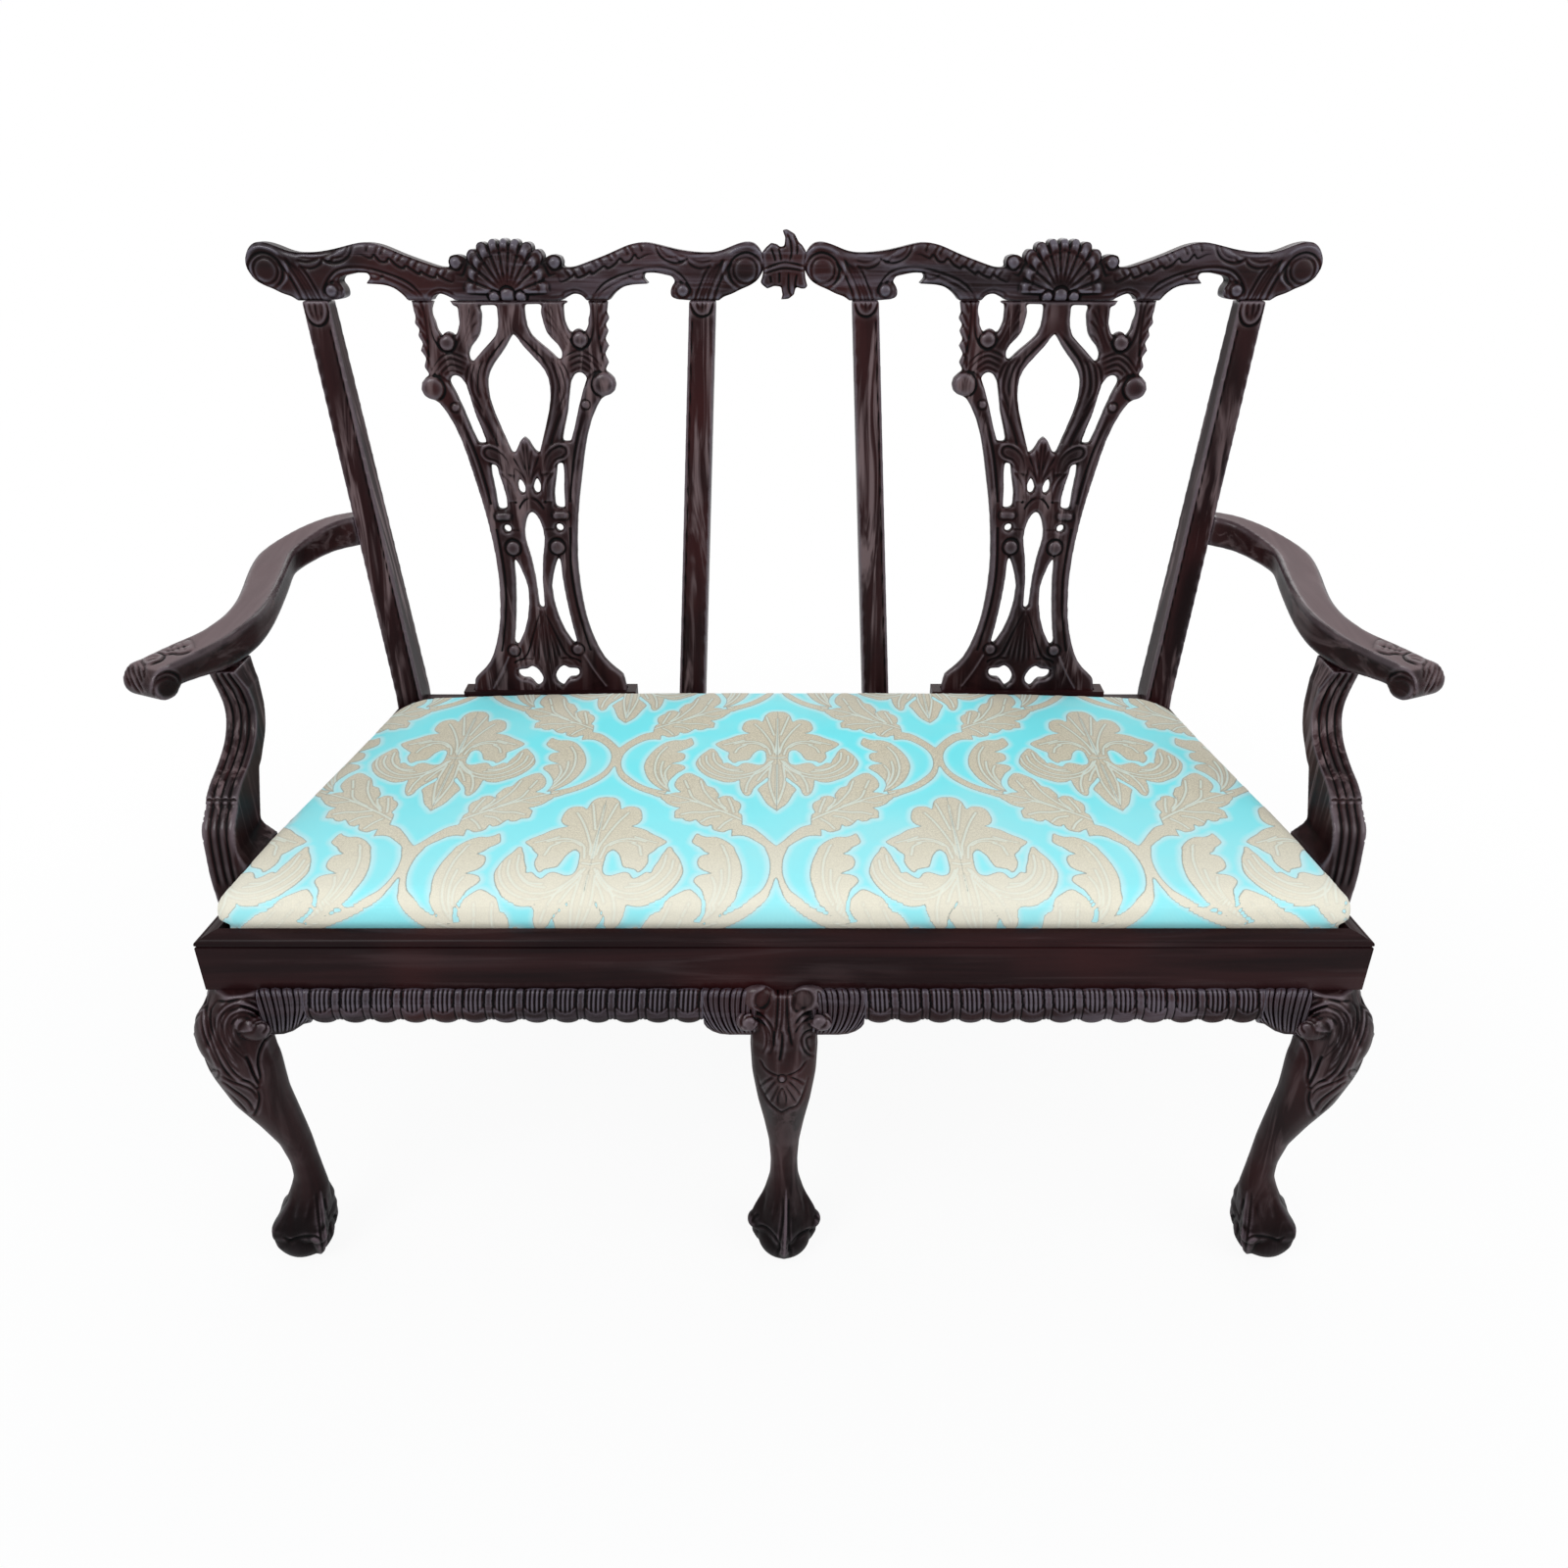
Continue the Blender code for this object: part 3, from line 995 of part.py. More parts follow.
def make_bars():
    """The beech frame: front and rear bars between the side bars, and a middle bar."""
    inset = BAR_INSET
    inner = inset + BAR_WIDTH
    front, back = seat_ends(inset)
    flat = Matrix.Translation((0, 0, (BAR_BOTTOM + BAR_TOP) / 2))
    right = [(p.x, p.y) for p in sum(right_corners(inset), [])]
    right += [(seat_half(back, inner), back), (seat_half(front, inner), front)]
    side = plate("right_seat_bar", [right], BAR_HEIGHT, flat, BEECH, seat_slide)
    pieces = [side]
    spans = [("front_seat_bar", front, front + BAR_WIDTH), ("rear_seat_bar", back - BAR_WIDTH, back)]
    for name, y0, y1 in spans:
        near, far = seat_half(y0, inner) - GAP, seat_half(y1, inner) - GAP
        outline = [(-near, y0), (near, y0), (far, y1), (-far, y1)]
        pieces.append(plate(name, [outline], BAR_HEIGHT, flat, BEECH, seat_slide))
    half = BAR_WIDTH / 2
    pieces.append(block("centre_seat_bar", (-half, front + BAR_WIDTH + GAP, BAR_BOTTOM),
                        (half, back - BAR_WIDTH - GAP, BAR_TOP), material=BEECH, parent=seat_slide))
    return pieces


def tapered_sheet(inset, cut=0.0):
    """A flat sheet's outline inside the seat, with its corners cut off."""
    front, back = seat_ends(inset)
    right = [(seat_half(front, inset) - cut, front), (seat_half(front + cut, inset), front + cut),
             (seat_half(back - cut, inset), back - cut), (seat_half(back, inset) - cut, back)]
    if not cut:
        right = [right[0], right[-1]]
    return right + [(-x, y) for x, y in reversed(right)]


def make_webbing():
    """Crossed straps as one flat net tacked on the bars."""
    inset = BAR_INSET + BAR_WIDTH / 4
    front, back = seat_ends(inset)
    edge = WEBBING_WIDTH / 2
    loops = [tapered_sheet(inset)]
    open_depth = (back - front - (WEBBING_ALONG + 1) * edge) / WEBBING_ALONG
    pitch = 2 * (seat_half(back, inset) - edge) / WEBBING_ACROSS
    for row in range(WEBBING_ALONG):
        y0 = front + edge + row * (edge + open_depth)
        y1 = y0 + open_depth
        for column in range(WEBBING_ACROSS):
            middle = (column - (WEBBING_ACROSS - 1) / 2) * pitch
            x0, x1 = middle - (pitch - edge) / 2, middle + (pitch - edge) / 2
            loops.append([(x0, y0), (x1, y0), (x1, y1), (x0, y1)])
    level = Matrix.Translation((0, 0, BAR_TOP + GAP + WEBBING_THICKNESS / 2))
    return plate("seat_webbing", loops, WEBBING_THICKNESS, level, JUTE, seat_slide)


def make_dust_cover():
    level = Matrix.Translation((0, 0, LEDGE + GAP + DUST_COVER_THICKNESS / 2))
    outline = tapered_sheet(BAR_INSET + GAP, SEAT_BACK_RADIUS)
    return plate("seat_dust_cover", [outline], DUST_COVER_THICKNESS, level, CAMBRIC, seat_slide)


# Corner blocks and screws

def screw_profile(extra):
    """Half profile of a flat-headed screw along its axis, grown for a hole."""
    radius, head = SCREW_RADIUS + extra, SCREW_HEAD_RADIUS + extra
    return [(0, -extra), (head, -extra), (head, SCREW_HEAD_HEIGHT * 0.3),
            (radius, SCREW_HEAD_HEIGHT + extra), (radius, SCREW_LENGTH - SCREW_RADIUS),
            (0, SCREW_LENGTH + extra)]


def turned_screw(name, matrix, extra=0.0):
    work = bmesh.new()
    profile = [work.verts.new((x, 0, z)) for x, z in screw_profile(extra)]
    edges = [work.edges.new(pair) for pair in zip(profile, profile[1:])]
    bmesh.ops.spin(work, geom=profile + edges, axis=(0, 0, 1), cent=(0, 0, 0), angle=2 * pi,
                   steps=SCREW_SIDES, use_merge=True)
    bmesh.ops.remove_doubles(work, verts=work.verts, dist=GAP / 10)
    bmesh.ops.transform(work, matrix=matrix, verts=work.verts)
    return smooth(add_object(name, mesh_from(name, work), STEEL))


def drive_screw(name, start, direction, pieces, middle_pieces=()):
    """A screw along a direction, its hole in each piece it passes and both holes in middle pieces."""
    turn = Vector(direction).to_track_quat('Z', 'Y').to_matrix().to_4x4()
    place = Matrix.Translation(start) @ turn
    screw = turned_screw(name, place)
    hole = turned_screw(f"{name}_hole", place, GAP)
    twin = mirror_copy(hole, f"{name}_twin_hole") if middle_pieces else None
    for piece in (*pieces, *middle_pieces):
        use_cutter(piece, hole)
    for piece in middle_pieces:
        use_cutter(piece, twin)
    return screw


def make_front_block(post_inner, post_back):
    """The glued block that fits round a front corner post."""
    inside = RAIL_THICKNESS + GAP

    def side_face(y):
        return RAIL_HALF_WIDTH - y * tan(TAPER) - inside / cos(TAPER)

    outline = [(post_inner - BLOCK_LEG, inside), (post_inner - GAP, inside),
               (post_inner - GAP, post_back + GAP), (side_face(post_back + GAP), post_back + GAP),
               (side_face(post_back + BLOCK_LEG), post_back + BLOCK_LEG)]
    level = Matrix.Translation((0, 0, RAIL_BOTTOM + BLOCK_HEIGHT / 2))
    return plate("right_front_corner_block", [outline], BLOCK_HEIGHT, level)


def make_rear_block():
    """The glued block between the side rail and the rear rail's batten."""
    inside = RAIL_THICKNESS + GAP
    back = SEAT_DEPTH - GAP

    def side_face(y):
        return RAIL_HALF_WIDTH - y * tan(TAPER) - inside / cos(TAPER)

    reach = POST_INNER_X - RAIL_THICKNESS
    height = LEDGE - BATTEN_HEIGHT - GAP - RAIL_BOTTOM
    outline = [(side_face(back), back), (reach - BLOCK_LEG, back),
               (side_face(back - BLOCK_LEG), back - BLOCK_LEG)]
    level = Matrix.Translation((0, 0, RAIL_BOTTOM + height / 2))
    return plate("right_rear_corner_block", [outline], height, level), height


def build():
    front_rail, side_rail = make_rails()
    post = make_outer_post()
    make_side_tenon(side_rail, post)
    rear_rail = make_rear_rail(post)
    make_batten()
    make_cross_rail()
    stile = make_inner_stile(rear_rail)
    splat = make_splat()
    shoe = make_shoe()
    crest = make_crest()
    make_ornament(crest)
    corner_leg, post_inner, post_back = make_corner_leg()
    make_centre_leg()
    make_rear_centre_leg(rear_rail)
    brackets = make_brackets()
    gadroon = make_gadroon()
    arm = make_arm()
    support = make_arm_support(arm)
    front_block = make_front_block(post_inner, post_back)
    rear_block, rear_height = make_rear_block()
    make_cover()
    make_pad()
    bars = make_bars()
    make_webbing()
    make_dust_cover()

    screws = []
    for i, (along, rise) in enumerate(SUPPORT_SCREW_SHARES):
        frame = side_frame(SUPPORT_FRONT + SUPPORT_LENGTH * along)
        start = frame @ Vector((GAP - RAIL_THICKNESS, 0, RAIL_BOTTOM + FASCIA_HEIGHT * rise))
        screws.append(drive_screw(f"right_support_screw_{i + 1}", start, OUT_OF_SIDE, [side_rail, support]))
    arm_height = ARM_TOP_BACK - ARM_THICKNESS / 2
    inner_face = on_stile_side(Vector((0, ARM_BACK_Y, arm_height)))
    start = inner_face - Vector((STILE_WIDTH_SEAT * 0.88, 0, 0))
    screws.append(drive_screw("right_arm_screw", start, (1, 0, 0), [post, arm]))
    block_z = RAIL_BOTTOM + BLOCK_HEIGHT / 2
    start = Vector((post_inner - BLOCK_LEG * 0.45, RAIL_THICKNESS + BLOCK_LEG * 0.30, block_z))
    screws.append(drive_screw("right_front_block_screw", start, (0, -1, 0), [front_block], [front_rail]))
    z = RAIL_BOTTOM + rear_height / 2
    start = Vector((POST_INNER_X - RAIL_THICKNESS - BLOCK_LEG * 0.30, SEAT_DEPTH - BLOCK_LEG * 0.30, z))
    screws.append(drive_screw("right_rear_block_screw", start, (0, 1, 0), [rear_block], [rear_rail]))

    for piece in (side_rail, post, stile, splat, shoe, crest, corner_leg, *brackets, gadroon, arm,
                  support, front_block, rear_block, bars[0], *screws):
        smooth(piece)
        name = piece.name.replace("centre_right", "centre_left").replace("right_", "left_", 1)
        mirror_copy(piece, name)


def centre_on_origin():
    """Put the middle of the settee's depth over the origin; it was built from its front rail back."""
    depths = []
    for piece in settee.objects:
        if piece.type == 'MESH':
            mesh = evaluated_mesh(piece)
            depths += [vertex.co.y for vertex in mesh.vertices]
            bpy.data.meshes.remove(mesh)
    origin.location.y = -(min(depths) + max(depths)) / 2


build()
centre_on_origin()
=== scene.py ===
# Carved mahogany double chair-back settee: carving, finish, seat and studio
import math

import bmesh
import bpy
import numpy as np
from mathutils import Matrix, Vector


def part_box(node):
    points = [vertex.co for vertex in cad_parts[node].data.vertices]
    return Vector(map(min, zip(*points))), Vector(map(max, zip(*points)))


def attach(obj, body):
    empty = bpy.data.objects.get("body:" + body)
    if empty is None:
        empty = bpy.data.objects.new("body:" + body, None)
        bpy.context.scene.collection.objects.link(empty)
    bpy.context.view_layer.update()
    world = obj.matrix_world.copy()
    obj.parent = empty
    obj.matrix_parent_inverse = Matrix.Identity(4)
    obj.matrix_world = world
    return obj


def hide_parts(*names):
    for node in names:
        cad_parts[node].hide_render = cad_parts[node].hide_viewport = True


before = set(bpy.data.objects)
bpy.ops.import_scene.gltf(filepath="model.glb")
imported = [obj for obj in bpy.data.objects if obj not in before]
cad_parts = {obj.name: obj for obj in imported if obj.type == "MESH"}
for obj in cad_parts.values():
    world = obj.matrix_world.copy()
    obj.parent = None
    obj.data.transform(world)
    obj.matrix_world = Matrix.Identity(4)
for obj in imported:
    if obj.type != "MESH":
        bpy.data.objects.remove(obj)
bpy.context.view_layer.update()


def placed(name, data):
    """A new object in the scene."""
    item = bpy.data.objects.new(name, data)
    bpy.context.scene.collection.objects.link(item)
    return item


# Camera: EYE in metres, FOCAL and MIDDLE in pixels of a picture 1600 wide

EYE = (0, -1.2724, 1.2014)
TILT = math.radians(60.484)
FOCAL = 1276.8
MIDDLE = 800

lens = bpy.data.cameras.new("camera")
lens.lens = 28.73
lens.sensor_width = 36
camera = placed("camera", lens)
camera.location = EYE
camera.rotation_euler = (TILT, 0, 0)
bpy.context.scene.camera = camera


# Places, in metres

FASCIA_Y = -0.28864
RAIL_TOP = 0.4715
LEG_TOP = 0.4087
RAIL_HALF = 0.576
TAPER = math.radians(6.608)
SEAT_DEPTH = 0.5205
REBATE = 0.0175
CREST_FOOT = 0.494
BACK_X = 0.3105
BACK_FOOT = (SEAT_DEPTH + FASCIA_Y, 0.481)
LEAN = Matrix.Rotation(math.radians(-5), 4, 'X')
SPLAY = Matrix.Rotation(math.radians(1.28), 4, 'Y')
BACK = Matrix.Translation((BACK_X, *BACK_FOOT)) @ LEAN @ SPLAY
CREST = (Matrix.Translation(BACK @ Vector((0, 0, CREST_FOOT))) @ LEAN
         @ Matrix.Translation((0, 0, -CREST_FOOT)))
CENTRE_BACK = Matrix.Translation((0, *BACK_FOOT)) @ LEAN
CORNER_MIRROR = Matrix(((0, 1, 0, -RAIL_HALF - FASCIA_Y), (1, 0, 0, RAIL_HALF + FASCIA_Y),
                        (0, 0, 1, 0), (0, 0, 0, 1)))
UP_SHARE = 0.99  # real heights on crests and splats, as a share of the drawn ones


# Damask, drawn on one repeat: millimetres sideways and up from a flower's middle;
# FLOWERS says where those middles lie, from the seat's middle and back from the fascia

REPEAT = 379
FLOWERS = ((-8, 315), (-197.5, 99), (-197.5, 531))
MOTIF = {
    "flower": """
0,126 9,124 15,115 17,105 19,97 25,102 33,102 40,96 43,85 43,76 39,69 34,66 42,63 50,59 58,52 68,45
74,38 71,31 65,24 60,19 57,15 58,5 55,-4 50,-10 46,-6 40,-4 34,-2 31,5 28,14 23,21 18,22 14,17 13,7
13,-5 16,-13 23,-15 30,-12 36,-10 41,-12 46,-19 52,-16 58,-10 63,-11 65,-3 69,7 72,17 78,26 84,19
90,9 94,-3 95,-12 92,-23 87,-33 79,-43 69,-50 59,-56 49,-55 43,-51 42,-63 40,-75 37,-83 33,-87
29,-82 27,-72 23,-63 17,-54 11,-45 10,-53 16,-62 21,-71 21,-75 18,-83 15,-93 12,-103 9,-110 4,-117
0,-122""",
    "crescent": """
120,-78 129,-73 137,-65 144,-55 149,-44 153,-30 155,-17 154,-3 151,10 146,23 140,34 134,42 125,47
116,47 109,50 105,53 102,45 101,37 105,30 110,25 116,20 120,17 112,14 109,7 110,-1 114,-6 119,-9
124,-12 117,-13 110,-16 107,-22 110,-28 115,-34 119,-42 123,-52 124,-63 122,-72""",
    "band": """
142,49 151,50 160,47 169,38 177,26 182,12 183.5,-3 182,-18 177,-33 169,-45 160,-56 150,-65 140,-71
130,-75 124,-77 130,-90 140,-84 151,-77 162,-68 172,-57 180,-45 185,-33 188,-20 191,-13 191,23
187,31 180,43 172,54 163,64 152,69 142,73""",
    "spray": """
130,-85 129,-93 125,-99 121,-106 116,-111 110,-115 106,-116 111,-122 111,-129 110,-135 102,-136
98,-140 92,-141 88,-138 84,-143 80,-148 74,-150 70,-147 68,-155 62,-159 56,-160 52,-157 46,-155
38,-155 38,-131 42,-125 40,-117 40,-108 43,-101 48,-96 50,-90 57,-87 63,-90 66,-95 65,-85 68,-77
72,-69 79,-65 82,-57 86,-48 92,-42 99,-36 105,-35 110,-41 114,-49 116,-59 115,-67 111,-74 108,-79
114,-80 121,-83""",
}
MOTIF_VEINS = """
120,-75 130,-63 138,-45 142,-25 142,-5 139,13 132,30
122,-69 128,-57 133,-40 135,-23 134,-7
123,-61 128,-45 129,-30 125,-17
133,-79 104,-92 92,-100 80,-110 67,-119 54,-127 40,-137 28,-148
99,-75 94,-91 84,-103 72,-113
105,-53 100,-70
87,-53 82,-75 74,-93 65,-110 54,-123
66,-91 63,-105 56,-118
54,-93 50,-110 47,-125
116,-103 108,-105 96,-101 88,-104
104,-129 92,-125 80,-125 64,-122
82,-143 74,-135 62,-132
62,-155 56,-145 48,-137
92,3 90,-13 82,-29 68,-42 52,-48 36,-45 22,-35 12,-21 5,-5
84,7 82,-10 72,-27 58,-38 42,-40 28,-34 16,-22 8,-7
76,15 74,-3 66,-19 54,-29 40,-32
68,-15 58,-25 44,-27
52,37 40,43 28,43 18,37 11,25 8,10
42,35 32,39 22,36 15,28
64,35 52,41 40,47
50,15 46,27 38,34
0,105 0,65 1,30 1,10
28,90 20,75 12,55 6,35 3,15
14,110 9,85 4,60
9,3 0,1
7,-15 9,-45 8,-65 4,-90 0,-110
35,-79 34,-63 30,-47 24,-33 14,-19
22,-53 16,-37 9,-23
0,-15 0,-65 0,-110
"""


# Finishes

class Sum:
    """A socket that adds Math nodes when it is used in an expression."""

    def __init__(self, nodes, socket):
        self.nodes, self.socket = nodes, socket

    def maths(self, operation, *values):
        return self.nodes.add("ShaderNodeMath", {"operation": operation}, *values)

    def __add__(self, other):
        return self.maths('ADD', self, other)

    def __sub__(self, other):
        return self.maths('SUBTRACT', self, other)

    def __rsub__(self, other):
        return self.maths('SUBTRACT', other, self)

    def __mul__(self, other):
        return self.maths('MULTIPLY', self, other)

    __radd__, __rmul__ = __add__, __mul__

    def most(self, other):
        return self.maths('MAXIMUM', self, other)

    def step(self, low, high):
        """0 below low and 1 above high, eased."""
        return self.nodes.add("ShaderNodeMapRange", {"interpolation_type": 'SMOOTHSTEP'},
                              self, low, high, 0.0, 1.0)


class Nodes:
    """A node tree, and the one way to add to it."""

    def __init__(self, tree):
        self.tree = tree

    def add(self, kind, settings, *values, out=0, **named):
        node = self.tree.nodes.new(kind)
        for key, value in settings.items():
            setattr(node, key, value)
        given = [*zip(node.inputs, values), *((node.inputs[key], value) for key, value in named.items())]
        for socket, value in given:
            if isinstance(value, Sum):
                self.tree.links.new(value.socket, socket)
            elif value is not None:
                socket.default_value = value
        return Sum(self, node.outputs[out])

    def show(self, factor, first, second, output):
        """The output shows a mix of two shaders."""
        mixed = self.add("ShaderNodeMixShader", {}, factor, first, second)
        self.tree.links.new(mixed.socket, self.tree.nodes[output].inputs[0])


class Finish(Nodes):
    """A procedural material; sheen, coat and other even values are set on its shader."""

    def __init__(self, name, **even):
        self.material = bpy.data.materials.new(name)
        self.material.use_nodes = True
        super().__init__(self.material.node_tree)
        self.shader = self.tree.nodes["Principled BSDF"]
        for key, value in even.items():
            self.shader.inputs[key.replace("_", " ")].default_value = value

    def place(self, scale=(1, 1, 1)):
        place = self.add("ShaderNodeTexCoord", {}, out="Object")
        return self.add("ShaderNodeMapping", {}, place, Scale=scale)

    def axis(self, number):
        return self.add("ShaderNodeSeparateXYZ", {}, self.place(), out=number)

    def noise(self, place, size, detail=3.0, rough=0.5, warp=0.0):
        return self.add("ShaderNodeTexNoise", {}, Vector=place, Scale=size, Detail=detail,
                        Roughness=rough, Distortion=warp)

    def weave(self, threads, wander, detail):
        """Two crossed waves."""
        warp, weft = (self.add("ShaderNodeTexWave", {"bands_direction": turn}, self.place(), threads,
                               wander, detail, out=1) for turn in "XY")
        return warp * weft

    def attribute(self, name):
        return self.add("ShaderNodeAttribute", {"attribute_name": name}, out="Fac")

    def mix(self, share, first, second):
        """Two colours mixed, in the Mix node's seventh and eighth sockets."""
        colours = [(*value, 1) if isinstance(value, tuple) else value for value in (first, second)]
        return self.add("ShaderNodeMix", {"data_type": 'RGBA'}, share, *[None] * 5, *colours, out=2)

    def finish(self, height, bump, distance, **varying):
        normal = self.add("ShaderNodeBump", {}, Strength=bump, Distance=distance, Height=height)
        for key, value in {**varying, "Normal": normal}.items():
            self.tree.links.new(value.socket, self.shader.inputs[key.replace("_", " ")])
        return self.material


def mahogany(name, grain, carved=True, wear_and_sheen=0.5, tops=False, feet=False,
             rubbed_and_sheen=(0.15, 0.100, 0.104), ridge_wear_and_sheen=(0.125, 0.089, 0.105)):
    """Dark stained mahogany; grain runs along the axis whose scale is small."""
    wood = Finish(name, Coat_Roughness=0.20, Specular_IOR_Level=0.06)
    stretched = wood.place(grain)
    broad = wood.noise(wood.place(), 5.0, 2.0)
    streaks = wood.noise(stretched, 26.0, 4.0, 0.6, 0.6)
    patina_and_sheen = wood.noise(stretched, 55.0, 3.0, 0.55, 1.0)
    pores = wood.noise(stretched, 130.0, 3.0, 0.7)
    colour = wood.mix(streaks.step(0.34, 0.68), (0.0085, 0.0028, 0.0034), (0.026, 0.0080, 0.0088))
    colour = wood.mix(broad.step(0.50, 0.72) * 0.55, colour, (0.048, 0.0090, 0.0090))
    # Lighter rubbed streaks along the grain: partly real wear, partly a painted sheen standing in for the
    # lacquer's reflections.
    colour = wood.mix(patina_and_sheen.step(0.48, 0.68) * broad.step(0.33, 0.57) * wear_and_sheen, colour, rubbed_and_sheen)
    rough = 0.30 + streaks * 0.10 + pores * 0.08
    coat = broad * 0.16
    if tops:
        # Painted highlight: faces marked as tops (facing upwards) are painted lighter, for the sheen of light
        # from above.
        share = wood.attribute("top") * (0.62 + patina_and_sheen * 0.45)
        colour = wood.mix(share, colour, (0.172, 0.117, 0.123))
    if feet:
        low = wood.axis(2).step(0.16, 0.05)
        colour = wood.mix(low * 0.8, colour, (0.003, 0.002, 0.0024))
    if carved:
        hollow = wood.attribute("hollow")
        raised = hollow * -1.0
        # Painted shade: hollows in the carving are painted near black.
        colour = wood.mix(hollow.step(0.0, 0.42), colour, (0.0010, 0.0006, 0.0009))
        # Ridges painted lighter: partly wear on raised edges, partly a painted highlight for the coat's
        # sheen.
        colour = wood.mix(raised.step(0.08, 0.75) * 0.85, colour, ridge_wear_and_sheen)
        rough = rough + hollow.step(0.1, 0.6) * 0.25
        coat = raised.step(-0.10, 0.6) * 0.6 + coat * 0.5
    if feet:
        coat = coat * (1.0 - low * 0.75)
    return wood.finish(pores * 0.5 + streaks * 0.5, 0.10, 0.0006,
                       Base_Color=colour, Roughness=rough, Coat_Weight=coat)


def plain_wood():
    wood = Finish("seat_frame_beech")
    streaks = wood.noise(wood.place((0.08, 1, 1)), 40.0, 4.0, 0.6, 0.4)
    pores = wood.noise(wood.place((0.05, 1, 1)), 160.0)
    colour = wood.mix(streaks.step(0.3, 0.7), (0.36, 0.22, 0.12), (0.50, 0.34, 0.20))
    return wood.finish(pores, 0.15, 0.0005, Base_Color=colour, Roughness=0.55 + pores * 0.15)


def screw_steel():
    steel = Finish("screw_steel", Metallic=1.0)
    specks = steel.noise(steel.place(), 900.0)
    colour = steel.mix(specks.step(0.4, 0.7), (0.38, 0.37, 0.35), (0.50, 0.49, 0.47))
    return steel.finish(specks, 0.1, 0.0003, Base_Color=colour, Roughness=0.3 + specks * 0.2)


def foam():
    pad = Finish("pad_foam")
    cells = pad.noise(pad.place(), 600.0, 2.0)
    colour = pad.mix(cells, (0.55, 0.47, 0.25), (0.85, 0.78, 0.55))
    return pad.finish(cells, 0.6, 0.001, Base_Color=colour, Roughness=0.85 + cells * 0.1)


def woven(name, dark, light, threads, rough):
    """Plain weave."""
    cloth = Finish(name, Sheen_Weight=0.2)
    height = cloth.weave(threads, 0.4, 1.0)
    colour = cloth.mix(height, dark, light)
    return cloth.finish(height, 0.5, 0.0006, Base_Color=colour, Roughness=rough + height * 0.05)


def damask():
    """Aqua ground and raised beige figures; 'motif' is the distance inside a figure in millimetres."""
    cloth = Finish("damask", Sheen_Weight=0.25, Sheen_Roughness=0.5, Specular_IOR_Level=0.25)
    motif, vein, depth = cloth.attribute("motif"), cloth.attribute("vein"), cloth.axis(1)
    slubs = cloth.noise(cloth.place(), 700.0, 3.0, 0.7)
    mottle = cloth.noise(cloth.place(), 9.0, 2.0)
    edge = motif + slubs * 1.8 - 0.9
    inside = edge.step(-0.5, 0.5)
    front = depth.step(0.02, -0.26)
    ground = cloth.mix((motif * -1.0).step(0.0, 9.0), (0.55, 0.94, 0.98), (0.17, 0.92, 0.99))
    # Painted light: the ground is painted lighter towards the seat's front.
    ground = cloth.mix(front * 0.28, ground, (0.72, 0.97, 1.0))
    figure = cloth.mix(slubs.step(0.35, 0.7), (0.53, 0.47, 0.34), (0.81, 0.748, 0.575))
    figure = cloth.mix(vein.step(1.5, 0.4) * 0.7, figure, (0.72, 0.90, 0.85))
    # Painted shade: a dark band is painted beside each pale vein.
    figure = cloth.mix(vein.step(1.2, 1.8) * vein.step(3.2, 2.0) * 0.65, figure, (0.36, 0.325, 0.25))
    # Painted light: the figures are painted lighter towards the front, and more along the front edge.
    figure = cloth.mix(front * 0.35 + depth.step(-0.17, -0.29) * 0.4, figure, (0.98, 0.935, 0.785))
    colour = cloth.mix(inside, ground, figure)
    colour = cloth.mix(edge.step(-1.0, -0.1) * edge.step(1.1, 0.2) * 0.62, colour, (0.27, 0.27, 0.235))
    colour = cloth.mix(mottle.step(0.35, 0.7) * 0.12, colour, (0.85, 0.86, 0.80))
    height = inside * 0.7 + vein.step(1.6, 0.2) * 0.35 + cloth.weave(260.0, 1.5, 2.0) * 0.18 + slubs * 0.15
    return cloth.finish(height, 0.55, 0.0012, Base_Color=colour, Roughness=0.72 + slubs * 0.15)


UPRIGHT = mahogany("mahogany_upright", (1, 1, 0.07), wear_and_sheen=1.25)
LEG_WOOD = mahogany("mahogany_legs", (1, 1, 0.07), wear_and_sheen=0.35, feet=True)
LENGTHWISE = mahogany("mahogany_lengthwise", (0.07, 1, 1), rubbed_and_sheen=(0.130, 0.106, 0.130),
                      ridge_wear_and_sheen=(0.113, 0.096, 0.126))
ARM_WOOD = mahogany("mahogany_arms", (1, 0.07, 1), tops=True)
SIDE_CARVING = mahogany("mahogany_side_brackets", (1, 0.07, 1))
RAIL_WOOD = mahogany("mahogany_rails", (0.06, 1, 1), carved=False, wear_and_sheen=0.12)
SIDE_WOOD = mahogany("mahogany_sides", (1, 0.06, 1), carved=False, wear_and_sheen=0.12)
POST_WOOD = mahogany("mahogany_blocks", (1, 1, 0.06), carved=False)
BEECH = plain_wood()
STEEL = screw_steel()
DAMASK = damask()
JUTE = woven("jute_webbing", (0.20, 0.13, 0.06), (0.46, 0.34, 0.20), 150.0, 0.8)
CAMBRIC = woven("dust_cover_cambric", (0.010, 0.010, 0.012), (0.045, 0.045, 0.050), 300.0, 0.85)
FOAM = foam()


# Mesh helpers

def opened(mesh):
    work = bmesh.new()
    work.from_mesh(mesh)
    return work


def node_copy(name):
    """A CAD node's faces, joined to each other."""
    work = opened(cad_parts[name].data)
    bmesh.ops.remove_doubles(work, verts=work.verts, dist=0.00001)
    return work


def written(work, mesh):
    """The faces in the given mesh, or in a new one of the given name."""
    if isinstance(mesh, str):
        mesh = bpy.data.meshes.new(mesh)
    work.to_mesh(mesh)
    work.free()
    return mesh


def grid(name, columns, rows, size=1):
    work = bmesh.new()
    bmesh.ops.create_grid(work, x_segments=columns, y_segments=rows, size=size)
    return written(work, name)


